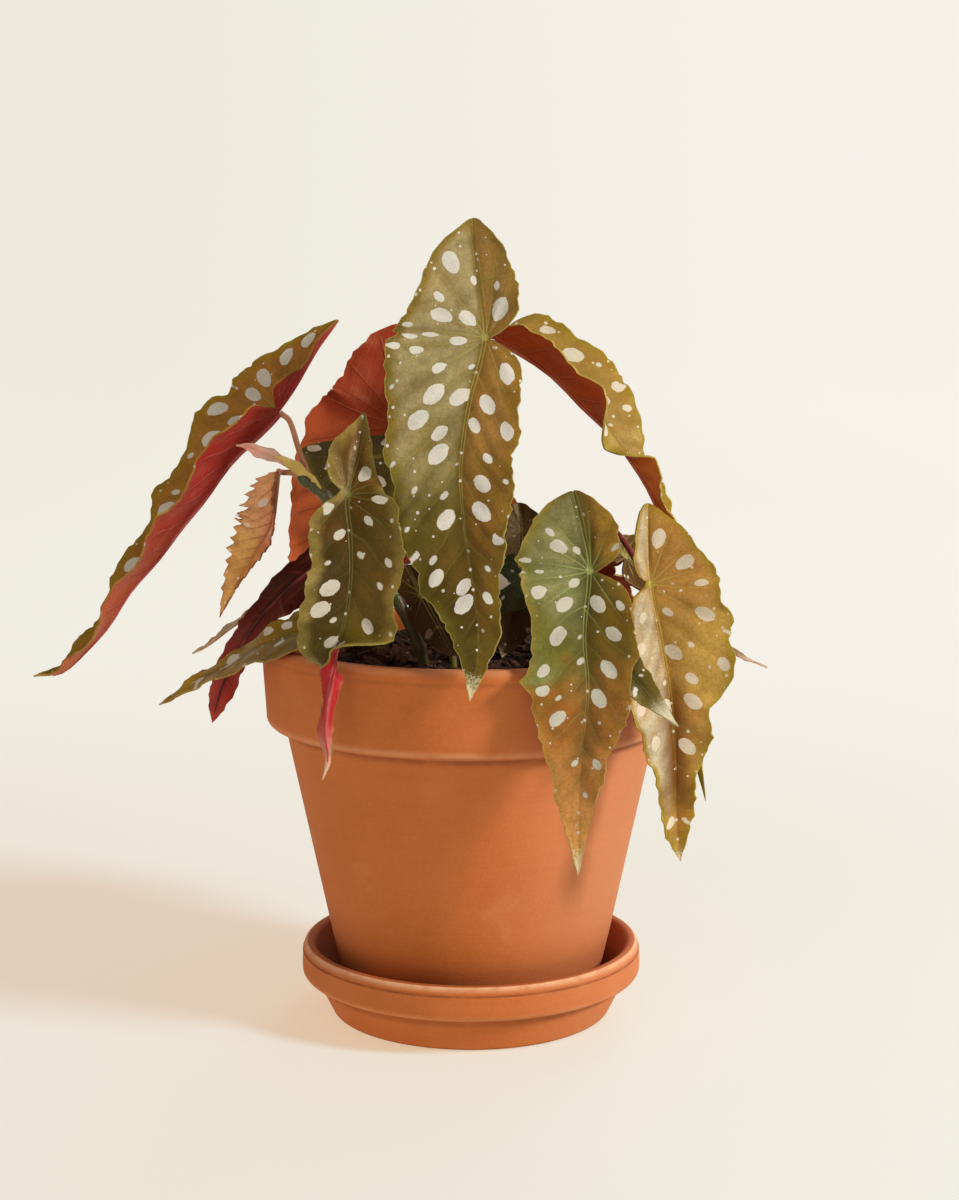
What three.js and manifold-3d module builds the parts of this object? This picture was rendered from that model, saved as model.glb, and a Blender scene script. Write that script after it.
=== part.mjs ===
// Polka dot begonia in a clay pot on a saucer.
// Millimetres, +Z up. The origin is the middle of the saucer's underside, on the pot's axis.
// Seen from the front, the plant is looked at along +Y, with +X to the right.
import * as THREE from 'three';
import { mergeVertices } from 'three/addons/utils/BufferGeometryUtils.js';
import Module from 'manifold-3d';

const wasm = await Module();
wasm.setup();

// Driving dimensions
const RIM_RADIUS = 76; // a 6 inch clay pot
const POT_TOP = 139.4;
const COLLAR_BOTTOM = 107.8;
const WALL_TOP_RADIUS = 67.8;
const FOOT_RADIUS = 46;
const WALL = 5.2;
const POT_FLOOR = 6;
const DRAIN_RADIUS = 8;
const SAUCER_FLOOR = 5;
const SAUCER_HEIGHT = 26.3;
const SAUCER_RADIUS = 62.4;
const SAUCER_FOOT_RADIUS = 51.5;
const SOIL_TOP = 130;
const GAP = 0.35; // between touching pieces
const BLADE = 0.8; // thickness of a leaf
const SEAT_GAP = 0.5; // between a leaf stalk's end and its blade
const SEAT_RUN = 4; // the straight end of a leaf stalk, square to its blade
const CANE_FOOT = SOIL_TOP - 28;
const LATHE_SIDES = 40;
const CANE_SIDES = 7;
const STALK_SIDES = 5;

const colours = {
  clay: 0xb9673a, soil: 0x3a2a20, cane: 0x4c5a2c, petiole: 0x9a5a35, olive: 0x7b7a35,
  golden: 0x9a7a2e, green: 0x5d7d42, dark: 0x2e3f2b, maroon: 0x6a2328, red: 0xa8432c, young: 0xb9683f,
  pale: 0xa9a25a,
};

function material(colour, roughness) {
  return new THREE.MeshStandardMaterial({ color: colour, roughness, metalness: 0 });
}

// Joins and cuts
function solidOf(geometry) {
  const bare = geometry.clone();
  bare.deleteAttribute('normal');
  bare.deleteAttribute('uv');
  const merged = mergeVertices(bare, 1e-4);
  return new wasm.Manifold(new wasm.Mesh({
    numProp: 3,
    vertProperties: new Float32Array(merged.attributes.position.array),
    triVerts: new Uint32Array(merged.index.array),
  }));
}

function geometryOf(solid) {
  const mesh = solid.getMesh();
  const geometry = new THREE.BufferGeometry();
  geometry.setAttribute('position', new THREE.BufferAttribute(new Float32Array(mesh.vertProperties), 3));
  geometry.setIndex(new THREE.BufferAttribute(new Uint32Array(mesh.triVerts), 1));
  geometry.computeVertexNormals();
  return geometry;
}

// Turned clay: a profile of [radius, height] pairs, spun about the pot's axis
function turned(profile, sides = LATHE_SIDES) {
  const points = profile.map(([r, z]) => new THREE.Vector2(r, z));
  const geometry = new THREE.LatheGeometry(points, sides);
  geometry.rotateX(Math.PI / 2);
  return geometry;
}

const potBase = SAUCER_FLOOR + GAP;

function wallRadius(z) {
  const share = (z - SAUCER_FLOOR) / (COLLAR_BOTTOM - SAUCER_FLOOR);
  return THREE.MathUtils.lerp(FOOT_RADIUS, WALL_TOP_RADIUS, share);
}

function innerRadius(z) {
  const throat = COLLAR_BOTTOM + 6;
  const mouth = RIM_RADIUS - 7.4;
  if (z <= COLLAR_BOTTOM) return wallRadius(z) - WALL;
  const start = wallRadius(COLLAR_BOTTOM) - WALL;
  if (z >= throat) return THREE.MathUtils.lerp(start + 3, mouth, (z - throat) / (POT_TOP - 2 - throat));
  return THREE.MathUtils.lerp(start, start + 3, (z - COLLAR_BOTTOM) / (throat - COLLAR_BOTTOM));
}

function potProfile() {
  const inside = [POT_TOP - 2, COLLAR_BOTTOM + 6, COLLAR_BOTTOM, potBase + POT_FLOOR + 3];
  return [
    [DRAIN_RADIUS, potBase],
    [FOOT_RADIUS - 2.2, potBase],
    [wallRadius(potBase + 2.5), potBase + 2.5],
    [WALL_TOP_RADIUS, COLLAR_BOTTOM],
    [RIM_RADIUS - 4.4, COLLAR_BOTTOM + 0.6],
    [RIM_RADIUS - 2.2, COLLAR_BOTTOM + 3.4],
    [RIM_RADIUS - 1.6, COLLAR_BOTTOM + 8],
    [RIM_RADIUS, POT_TOP - 5],
    [RIM_RADIUS - 0.9, POT_TOP - 1.8],
    [RIM_RADIUS - 3.1, POT_TOP],
    [RIM_RADIUS - 5.6, POT_TOP - 0.2],
    ...inside.map((z) => [innerRadius(z), z]),
    [innerRadius(potBase + POT_FLOOR) - 3, potBase + POT_FLOOR],
    [DRAIN_RADIUS, potBase + POT_FLOOR],
    [DRAIN_RADIUS, potBase],
  ];
}

function saucerProfile() {
  const lipInner = SAUCER_RADIUS - 5.2;
  return [
    [0, 0],
    [SAUCER_FOOT_RADIUS - 1.2, 0],
    [SAUCER_FOOT_RADIUS, 1.4],
    [SAUCER_RADIUS - 5, 13],
    [SAUCER_RADIUS - 1.4, 14.2],
    [SAUCER_RADIUS, 17],
    [SAUCER_RADIUS - 0.2, SAUCER_HEIGHT - 3],
    [SAUCER_RADIUS - 1.3, SAUCER_HEIGHT - 0.6],
    [SAUCER_RADIUS - 2.8, SAUCER_HEIGHT],
    [SAUCER_RADIUS - 4.4, SAUCER_HEIGHT - 0.6],
    [lipInner, SAUCER_HEIGHT - 2.6],
    [lipInner - 5.6, SAUCER_FLOOR + 3],
    [lipInner - 8, SAUCER_FLOOR],
    [0, SAUCER_FLOOR],
  ];
}

// Values that change along a leaf, given as evenly spaced stops from its lobe to its tip
function along(stops, s) {
  if (stops.length === 1) return stops[0];
  const place = THREE.MathUtils.clamp(s, 0, 1) * (stops.length - 1);
  const i = Math.min(Math.floor(place), stops.length - 2);
  const share = THREE.MathUtils.smoothstep(place - i, 0, 1);
  return stops[i].map((value, k) => THREE.MathUtils.lerp(value, stops[i + 1][k], share));
}

// The same through stations, but smooth: a Catmull-Rom curve through every column of the list
function smooth(stations, s) {
  const last = stations.length - 1;
  const place = THREE.MathUtils.clamp(s, 0, 1) * last;
  const i = Math.min(Math.floor(place), last - 1);
  const t = place - i;
  return stations[i].map((b, k) => {
    const c = stations[i + 1][k];
    const a = i > 0 ? stations[i - 1][k] : 2 * b - c;
    const d = i + 2 <= last ? stations[i + 2][k] : 2 * c - b;
    return b + 0.5 * t * (c - a + t * (2 * a - 5 * b + 4 * c - d + t * (3 * (b - c) + d - a)));
  });
}

const ROUND_END = 0.09; // share of the length in which the lobe's end rounds off
const NOTCH_REACH = 0.05; // share of the length over which the notch opens

// A leaf blade. stations: [x, y, z, left, right], the midrib and how far each half reaches.
// face: where the upper side looks. fold: degrees by which each half rises from the midrib.
// joint: the station that the stalk meets. notch: the half that is cut in there.
class Blade {
  constructor(spec) {
    Object.assign(this, { wave: 1, waves: 6, phase: 0, scallop: 0.05, teeth: 0 }, spec);
    this.jointAt = spec.joint / (spec.stations.length - 1);
  }

  rib(s) {
    return new THREE.Vector3(...smooth(this.stations, s));
  }

  frame(s) {
    const ahead = this.rib(Math.min(1, s + 0.01)).sub(this.rib(Math.max(0, s - 0.01))).normalize();
    const face = new THREE.Vector3(...along(this.face, s));
    const across = new THREE.Vector3().crossVectors(face, ahead).normalize();
    return { ahead, across, up: new THREE.Vector3().crossVectors(ahead, across) };
  }

  reach(s, side) {
    let reach = smooth(this.stations, s)[side < 0 ? 3 : 4];
    if (s < ROUND_END) reach *= Math.sqrt(1 - (1 - s / ROUND_END) ** 2);
    if (side === this.notch) {
      const open = Math.min(1, Math.abs(s - this.jointAt) / NOTCH_REACH);
      reach *= 1 - 0.9 * (1 - open) ** 2;
    }
    const turn = 2 * Math.PI * this.waves * s + this.phase + side;
    reach *= 1 + this.scallop * Math.sin(1.2 * turn + Math.sin(0.7 * turn));
    if (this.teeth) reach *= 1 + this.teeth * (((s * this.waves * 2) % 1) - 0.5);
    return Math.max(reach, 0);
  }

  // u runs from -1 at the left edge to 1 at the right one, seen with the tip down
  point(s, u) {
    const side = u < 0 ? -1 : 1;
    const v = Math.abs(u) * this.reach(s, side);
    const { across, up } = this.frame(s);
    const fold = THREE.MathUtils.degToRad(along(this.fold, s)[side < 0 ? 0 : 1]);
    const turn = 2 * Math.PI * this.waves * s + this.phase + (side > 0 ? 0 : 2.1);
    const fade = Math.min(1, 6 * (1 - s), 8 * s);
    const lift = this.wave * u * u * Math.sin(turn) * fade;
    return this.rib(s)
      .addScaledVector(across, side * v * Math.cos(fold))
      .addScaledVector(up, v * Math.sin(fold) + lift);
  }

  normal(s, u) {
    const ds = 0.004;
    const du = 0.08;
    const lengthwise = this.point(Math.min(1, s + ds), u).sub(this.point(Math.max(0, s - ds), u));
    const mid = THREE.MathUtils.clamp(u, -1 + du, 1 - du);
    const crosswise = this.point(s, mid + du).sub(this.point(s, mid - du));
    const normal = new THREE.Vector3().crossVectors(lengthwise, crosswise);
    return normal.lengthSq() > 1e-12 ? normal.normalize() : this.frame(s).up;
  }

  // Rows of the mesh: evenly along the leaf, and closer where the notch opens
  places(count) {
    const rows = [];
    for (let i = 1; i < count; i++) rows.push(i / count);
    const near = this.notch ? [-1, -0.35, 0, 0.35, 1].map((k) => this.jointAt + k * NOTCH_REACH) : [];
    const kept = rows.filter((s) => near.every((n) => Math.abs(s - n) > 0.016));
    return [...kept, ...near, 0.012, 0.985].sort((a, b) => a - b);
  }

  geometry(count, columns, thickness = BLADE) {
    const rows = this.places(count);
    const position = [];
    const index = [];
    const add = (s, u, lift, normal) => {
      const p = this.point(s, u).addScaledVector(normal, lift);
      position.push(p.x, p.y, p.z);
    };
    const half = thickness / 2;
    for (const lift of [half, -half]) {
      add(0, 0, lift, this.frame(0.01).up);
      for (const s of rows) {
        for (let c = 0; c <= columns; c++) {
          const u = (2 * c) / columns - 1;
          add(s, u, lift, this.normal(s, u));
        }
      }
      add(1, 0, lift, this.frame(0.99).up);
    }
    const width = columns + 1;
    const sheet = rows.length * width + 2;
    const at = (r, c) => 1 + r * width + c;
    const quad = (a, b, c, d) => index.push(a, b, c, a, c, d);
    for (const under of [false, true]) {
      const shift = under ? sheet : 0;
      const face = (a, b, c) => index.push(a + shift, ...(under ? [c, b] : [b, c]).map((k) => k + shift));
      for (let c = 0; c < columns; c++) {
        face(0, at(0, c), at(0, c + 1));
        for (let r = 0; r + 1 < rows.length; r++) {
          const [a, b, d, e] = [at(r, c), at(r + 1, c), at(r + 1, c + 1), at(r, c + 1)];
          if (c < columns / 2) {
            face(a, b, e);
            face(b, d, e);
          } else {
            face(a, b, d);
            face(a, d, e);
          }
        }
        face(sheet - 1, at(rows.length - 1, c + 1), at(rows.length - 1, c));
      }
    }
    for (const c of [0, columns]) {
      const edge = [0, ...rows.map((_, r) => at(r, c)), sheet - 1];
      for (let r = 0; r + 1 < edge.length; r++) {
        const [a, b] = c === 0 ? [edge[r], edge[r + 1]] : [edge[r + 1], edge[r]];
        quad(a, a + sheet, b + sheet, b);
      }
    }
    const geometry = new THREE.BufferGeometry();
    geometry.setAttribute('position', new THREE.BufferAttribute(new Float32Array(position), 3));
    geometry.setIndex(index);
    geometry.computeVertexNormals();
    return geometry;
  }

  // The last points of the leaf's stalk, which ends just behind the blade
  seat() {
    const { up } = this.frame(this.jointAt);
    const rib = this.rib(this.jointAt);
    return [SEAT_RUN, SEAT_RUN / 3, 0].map((d) => rib.clone().addScaledVector(up, -BLADE / 2 - SEAT_GAP - d));
  }
}

const LEFT = -1;
const RIGHT = 1;

const leaves = {
  leaf_front_tall: {
    colour: colours.olive, joint: 2, notch: RIGHT, wave: 1.2, waves: 6,
    fold: [[14, 14], [-4, 12], [-6, 12], [4, 12]], face: [[0, -1, 0]], rows: 21, columns: 6,
    stations: [
      [1, -36, 288, 8, 6], [3, -39, 270, 21, 12], [5, -43, 248, 31, 13], [0, -50, 227, 30, 18],
      [-3, -57, 206, 25, 18], [-2, -64, 187, 22, 16], [1, -72, 168, 17, 10], [3, -79, 150, 9, 6.5],
      [0, -85, 131, 0, 0],
    ],
  },
  leaf_right_centre: {
    colour: colours.green, joint: 2, notch: RIGHT, fold: [[12, 12]], wave: 1.2, waves: 5, phase: 1,
    face: [[0, -1, 0]], rows: 20, columns: 6,
    stations: [
      [35, -52, 197, 12, 5], [38, -56, 185, 21, 11], [40, -62, 171, 25, 12], [38, -70, 151, 19, 18],
      [39, -76, 133, 22, 15], [37, -80, 116, 14, 11], [36, -81, 97, 8, 6], [36, -80, 71, 0, 0],
    ],
  },
  leaf_right_golden: {
    colour: colours.golden, joint: 2, notch: LEFT, wave: 1.6, waves: 6, phase: 4,
    fold: [[42, 10], [30, 10], [32, 10], [22, 10]], face: [[0, -1, 0]], rows: 20, columns: 6,
    stations: [
      [60.5, -44, 192, 6, 6], [60.2, -47, 179.5, 6, 16], [61.2, -51, 165, 8, 23],
      [63, -53, 155, 11, 24.5], [65.3, -55, 144, 15, 24.5], [67.3, -57.5, 132, 16, 21.5],
      [68.6, -59, 121, 15.5, 13.5], [69.3, -60, 110, 12.5, 12.5], [69.8, -60, 100, 8.5, 7],
      [70, -60, 90, 6.5, 7], [70.7, -59.5, 80, 4.5, 4], [72, -58, 70, 0, 0],
    ],
  },
  leaf_mid_left: {
    colour: colours.olive, joint: 2, notch: LEFT, wave: 1.1, waves: 5, rows: 20, columns: 6,
    fold: [[14, 14], [14, 14], [14, 14], [14, 14], [14, 14], [14, 14], [12, 16], [14, 75], [25, 30],
      [30, 30], [30, 30], [30, 30], [30, 30]],
    face: [[0, -1, 0], [0, -1, 0], [0, -1, 0], [0, -1, 0], [0, -1, 0], [0, -1, 0], [0, -1, 0],
      [-0.5, -0.85, 0], [-0.4, 0.9, 0], [0, 1, 0], [0, 1, 0], [0, 1, 0], [0, 1, 0]],
    stations: [
      [-36, -44, 223, 2, 2], [-37.5, -48, 211, 9.5, 5], [-41, -56, 196, 12, 14],
      [-40, -61, 184, 14, 18.5], [-39.5, -65, 172, 14.5, 17.5], [-40.3, -68, 162.5, 15, 16.5],
      [-42, -70.5, 154, 16.5, 18.5], [-44.5, -72.5, 144.5, 12.5, 8], [-46, -74, 135, 5, 3],
      [-47.5, -75, 126.5, 2.7, 2.5], [-48.2, -75.3, 118, 3, 3], [-47.2, -74.5, 110, 1.4, 1.4],
      [-49.5, -73, 102, 0, 0],
    ],
  },
  leaf_left_folded: {
    colour: colours.maroon, joint: 2, notch: RIGHT, fold: [[54, 24], [54, 22]], wave: 1.4, waves: 6,
    face: [[-0.76, 0, 0.65]], rows: 21, columns: 6,
    stations: [
      [-47, -2, 253, 4, 3], [-57, -6, 238, 16, 7], [-68, -10, 221, 25, 17], [-82, -14, 207, 23, 22],
      [-95, -18, 190, 19, 19], [-106, -22, 176, 14, 16], [-119, -26, 160, 9, 12],
      [-130, -30, 143.5, 6, 8], [-142, -32, 132, 4, 4], [-153, -33, 130, 0, 0],
    ],
  },
  leaf_right_arching: {
    colour: colours.olive, joint: 1, notch: RIGHT, wave: 1.4, waves: 6, rows: 22, columns: 6,
    fold: [[45, 45], [50, 50], [55, 55], [50, 60], [-25, 55], [50, 50], [40, 40], [20, 20], [20, 20],
      [20, 20], [20, 20]],
    face: [[0.5, -0.1, 0.9], [0.7, -0.1, 0.7], [0.9, -0.1, 0.3], [0.7, 0.7, 0]],
    stations: [
      [1, 10, 246, 4, 10], [9, 6, 246, 8, 17], [24, 3, 238, 11.5, 17.5], [40, -2, 223, 12, 20.5],
      [52.5, -3.5, 210.5, 9, 12.5], [61.5, -5, 198, 8, 4.5], [68, -6, 183, 7, 7], [72, -8, 166, 6, 6],
      [77, -12, 137, 5, 5], [79.5, -14, 108, 3, 3], [85, -14, 80.5, 0, 0],
    ],
  },
  leaf_back_left: {
    colour: colours.red, joint: 2, notch: LEFT, fold: [[10, 10]], wave: 1, scallop: 0.02, waves: 6,
    face: [[-0.2, 1, 0.2]], rows: 18, columns: 6,
    stations: [
      [-15, 40, 251, 8, 14], [-20, 35, 234, 13, 24], [-27, 29, 214, 14, 28], [-38, 29, 200, 15, 28.5],
      [-49, 31, 185, 15, 20.5], [-57, 32, 169, 12, 12.5], [-62, 32, 155, 7, 7], [-64, 31, 144, 0, 0],
    ],
  },
  leaf_low_maroon: {
    colour: colours.maroon, joint: 1, notch: LEFT, fold: [[16, 16]], wave: 1.2, waves: 5,
    face: [[0.1, 1, -0.2]], rows: 15,
    stations: [
      [-44, 11, 176, 8, 6], [-50, 10, 168, 12, 8], [-61.5, 8, 159.5, 10, 8], [-73.5, 6, 148.5, 6, 7],
      [-82.5, 3, 136.5, 5, 6], [-88.5, 1, 125.5, 5, 6], [-92.5, -1, 114.5, 4, 4], [-94.5, -2, 107, 0, 0],
    ],
  },
  leaf_low_left: {
    colour: colours.green, joint: 1, notch: RIGHT, fold: [[5, 5]], wave: 0.7, waves: 5,
    face: [[-0.2, -0.45, 0.87]], rows: 15,
    stations: [
      [-46, -32, 147, 8, 7], [-54, -33, 146, 12, 12], [-63, -33, 144, 12, 12], [-74, -29, 139, 10, 10],
      [-85, -23, 132, 7, 7], [-96, -18, 126, 5, 4], [-105, -15, 120, 3, 2], [-112, -14, 116, 0, 0],
    ],
  },
  leaf_pale_tip: {
    colour: colours.pale, joint: 1, notch: RIGHT, fold: [[8, 8]], wave: 0.8, waves: 4,
    face: [[-0.4, 0, 0.9]], rows: 13,
    stations: [
      [-40, 22, 168, 7, 6], [-48, 21, 163, 9, 7], [-62, 20, 155, 9, 7], [-77, 20, 148, 8, 6],
      [-88, 20, 140, 5, 4], [-97, 20, 133, 3, 3], [-104, 19, 129, 0, 0],
    ],
  },
  leaf_dark_behind: {
    colour: colours.dark, joint: 1, notch: RIGHT, fold: [[6, 6]], wave: 0.8, waves: 4,
    face: [[0, -0.6, 0.8], [0, -0.8, 0.5]], rows: 13,
    stations: [
      [-45, 16, 209, 16, 19], [-43, 6, 202, 19, 22], [-41, -4, 190, 13, 14], [-42, -12, 174, 11, 9],
      [-43, -15, 161, 8, 6], [-44, -18, 150, 0, 0],
    ],
  },
  leaf_inner_brown: {
    colour: colours.dark, joint: 1, notch: LEFT, fold: [[10, 10]], wave: 1, waves: 4,
    face: [[0.1, -1, 0.3]], rows: 13,
    stations: [
      [17, -14, 189, 7, 4], [18, -17, 179, 13, 9], [17, -21, 166, 15, 8], [15, -25, 153, 11, 9],
      [13, -28, 143, 6, 6], [11, -31, 136, 0, 0],
    ],
  },
  leaf_inner_teal: {
    colour: colours.dark, joint: 1, notch: RIGHT, fold: [[10, 10]], wave: 0.8, waves: 4,
    face: [[-0.2, -0.8, 0.5]], rows: 11,
    stations: [
      [28, -34, 170, 7, 7], [20, -36, 166, 10, 11], [10, -38, 160, 9, 10], [0, -40, 153, 5, 6],
      [-8, -41, 147, 0, 0],
    ],
  },
  leaf_small_right: {
    colour: colours.green, joint: 1, notch: LEFT, fold: [[10, 10]], wave: 0.6, waves: 3,
    face: [[-0.2, -0.6, 0.8]], rows: 12,
    stations: [
      [34, -57, 153, 5, 5], [41, -62, 149, 8, 8], [50, -70, 141, 7, 7], [58, -74, 132, 5, 5],
      [69, -77, 121, 0, 0],
    ],
  },
  leaf_back_right: {
    colour: colours.green, joint: 1, notch: LEFT, fold: [[14, 14]], wave: 1, waves: 5,
    face: [[0.2, -0.6, 0.8]], rows: 14,
    stations: [
      [49, -24, 175, 6, 6], [54, -24, 171, 10, 11], [65, -24, 161, 11, 9], [79, -22, 148, 5, 5],
      [92, -19, 137, 1.4, 1.4], [106, -16, 130, 0, 0],
    ],
  },
  leaf_small_dark: {
    colour: colours.dark, joint: 1, notch: LEFT, fold: [[8, 8]], wave: 0.6, waves: 3,
    face: [[-0.3, -0.8, 0.5]], rows: 11,
    stations: [
      [-22, -33, 169, 5, 4], [-17, -34, 159, 8, 6], [-12, -36, 150, 8, 6], [-8, -38, 143, 5, 4],
      [-5, -39, 137, 0, 0],
    ],
  },
  leaf_back_centre: {
    colour: colours.olive, joint: 2, notch: LEFT, fold: [[12, 12]], wave: 1.2, waves: 5,
    face: [[0, 1, 0.2]], rows: 15,
    stations: [
      [2, 40, 212, 7, 8], [0, 46, 200, 14, 17], [-2, 52, 186, 15, 24], [1, 62, 168, 21, 24],
      [2, 72, 148, 21, 22], [1, 80, 128, 16, 17], [0, 84, 106, 8, 9], [1, 85, 84, 0, 0],
    ],
  },
  leaf_back_far_right: {
    colour: colours.green, joint: 2, notch: RIGHT, fold: [[12, 12]], wave: 1.2, waves: 5,
    face: [[0.6, 1, 0.2]], rows: 15,
    stations: [
      [26, 24, 176, 7, 6], [32, 30, 168, 15, 13], [38, 38, 158, 18, 12], [44, 50, 149, 19, 17],
      [50, 61, 138, 18, 17], [54, 68, 120, 13, 12], [56, 71, 100, 7, 6], [57, 71, 82, 0, 0],
    ],
  },
  leaf_back_far_left: {
    colour: colours.golden, joint: 2, notch: RIGHT, fold: [[12, 12]], wave: 1.2, waves: 5,
    face: [[-0.6, 1, 0.2]], rows: 15,
    stations: [
      [-20, 40, 182, 6, 7], [-26, 46, 172, 13, 14], [-33, 53, 160, 14, 19], [-39, 61, 149, 17, 19],
      [-44, 69, 136, 17, 17], [-47, 74, 119, 12, 12], [-49, 77, 100, 6, 7], [-50, 77, 80, 0, 0],
    ],
  },
  leaf_young_toothed: {
    colour: colours.young, joint: 0, notch: 0, wave: 0.6, waves: 9, scallop: 0, teeth: 0.22,
    fold: [[25, 80], [25, 80], [25, 60], [20, 25], [15, 15], [15, 15]], face: [[-0.3, -1, 0.2]], rows: 36, columns: 2,
    stations: [
      [-67, -25, 201, 5, 4], [-68, -26, 192, 9.5, 6], [-69.5, -27, 182, 11.5, 6],
      [-74.3, -28, 174, 10, 3.5], [-81.5, -29, 163, 5, 1.4], [-88, -29, 150, 0, 0],
    ],
  },
};

// Canes with their leaf stalks. A stalk runs from a point inside its cane to just behind its leaf.
const stems = {
  cane_left: {
    radius: 2.1, colour: colours.cane, foot: [-17, -20],
    sheaths: [
      { from: [-54, -20, 194], to: [-69, -19, 204], thick: 2.6 },
      { from: [-66, -20, 202], to: [-81, -22, 208.5], thick: 1.5 },
      { from: [-22, -20, 146], to: [-17, -23, 160], thick: 1.8 },
    ],
    path: [[-24, -20, 151], [-37, -19, 175], [-50, -20, 191], [-57, -20, 197]],
    stalks: [
      { leaf: 'leaf_left_folded', from: [-55, -20, 195], via: [[-60, -15, 206]] },
      { leaf: 'leaf_mid_left', from: [-37, -19, 175], via: [[-40, -32, 190]] },
      { leaf: 'leaf_low_left', from: [-27, -20, 157], via: [[-40, -21, 150], [-50, -27, 141.5]] },
      { leaf: 'leaf_young_toothed', from: [-57, -20, 197], via: [[-62, -20, 200]], radius: 0.9 },
    ],
  },
  cane_centre: {
    radius: 2.3, colour: colours.cane, foot: [6, 2],
    path: [[4, 1, 160], [0, 1, 200], [-1, 0, 228]],
    stalks: [
      { leaf: 'leaf_front_tall', from: [-1, 0, 226], via: [[1, -14, 241], [4, -30, 246]] },
      { leaf: 'leaf_right_arching', from: [-1, 0, 222], via: [[2, 4, 234]] },
      { leaf: 'leaf_back_left', from: [0, 1, 198], via: [[-12, 11, 209]] },
      { leaf: 'leaf_dark_behind', from: [1, 1, 188], via: [[-20, 9, 194], [-38, 12, 197]] },
      { leaf: 'leaf_back_centre', from: [3, 1, 175], via: [[0, 22, 186]] },
      { leaf: 'leaf_inner_brown', from: [4, 1, 162], via: [[12, -3, 173]] },
      { leaf: 'leaf_low_maroon', from: [4, 1, 158], via: [[-20, 1, 168], [-40, 3, 171]] },
      { leaf: 'leaf_back_far_left', from: [5, 2, 142], via: [[-10, 22, 153]] },
      { leaf: 'leaf_pale_tip', from: [6, 2, 138], via: [[-20, 13, 148], [-42, 20, 155]] },
    ],
  },
  cane_right: {
    radius: 2.1, colour: colours.cane, foot: [30, -12],
    path: [[33, -15, 155], [38, -18, 174], [42, -20, 184]],
    stalks: [
      { leaf: 'leaf_right_golden', from: [41, -20, 182], via: [[50, -30, 181]] },
      { leaf: 'leaf_right_centre', from: [36, -17, 166], via: [[39, -36, 175]] },
      { leaf: 'leaf_back_right', from: [37, -18, 170], via: [[45, -18, 168]] },
      { leaf: 'leaf_inner_teal', from: [33, -15, 155], via: [[27, -24, 160]] },
      { leaf: 'leaf_small_right', from: [30.5, -12, 140], via: [[36, -35, 142]] },
      { leaf: 'leaf_back_far_right', from: [30, -12, 136], via: [[34, 10, 148]] },
    ],
  },
  shoot_young: {
    radius: 1.3, colour: colours.petiole, foot: [-6, -28],
    path: [[-8, -27, 144], [-11, -26, 152]],
    stalks: [{ leaf: 'leaf_small_dark', from: [-10.5, -26, 151], via: [[-14, -27, 156]] }],
  },
};

function tube(points, radius, sides, steps) {
  const corners = [];
  for (let i = 0; i < sides; i++) {
    const turn = (2 * Math.PI * i) / sides;
    corners.push(new THREE.Vector2(radius * Math.cos(turn), radius * Math.sin(turn)));
  }
  const extrudePath = new THREE.CatmullRomCurve3(points, false, 'centripetal');
  return new THREE.ExtrudeGeometry(new THREE.Shape(corners), { steps, extrudePath, bevelEnabled: false });
}

// A bud or sheath: a spindle from one point to another, thickest at the middle
function spindle(from, to, radius) {
  const axis = to.clone().sub(from);
  const profile = [];
  const rings = 4;
  for (let i = 0; i <= rings; i++) {
    const turn = (Math.PI * i) / rings;
    profile.push(new THREE.Vector2(radius * Math.sin(turn), (-Math.cos(turn) * axis.length()) / 2));
  }
  const geometry = new THREE.LatheGeometry(profile, 5);
  geometry.applyQuaternion(
    new THREE.Quaternion().setFromUnitVectors(new THREE.Vector3(0, 1, 0), axis.normalize()),
  );
  const middle = from.clone().add(to).multiplyScalar(0.5);
  return geometry.translate(middle.x, middle.y, middle.z);
}

function stemSolid(stem, blades) {
  const [x, y] = stem.foot;
  const up = [[x, y, CANE_FOOT], [x, y, SOIL_TOP - 10], [x, y, SOIL_TOP + 4], ...stem.path];
  const path = up.map((p) => new THREE.Vector3(...p));
  let solid = solidOf(tube(path, stem.radius, CANE_SIDES, 10));
  for (const { leaf, from, via, radius = 1 } of stem.stalks) {
    const start = new THREE.Vector3(...from);
    const points = [start, ...via.map((p) => new THREE.Vector3(...p)), ...blades[leaf].seat()];
    solid = solid.add(solidOf(tube(points, radius, STALK_SIDES, 7)));
    const way = points[1].clone().sub(start).normalize();
    const swell = start.clone().addScaledVector(way, -1.4 * stem.radius);
    solid = solid.add(solidOf(spindle(swell, start.clone().addScaledVector(way, 4.5), 1.25 * stem.radius)));
  }
  for (const { from, to, thick } of stem.sheaths ?? []) {
    solid = solid.add(solidOf(spindle(new THREE.Vector3(...from), new THREE.Vector3(...to), thick)));
  }
  return solid;
}

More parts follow.
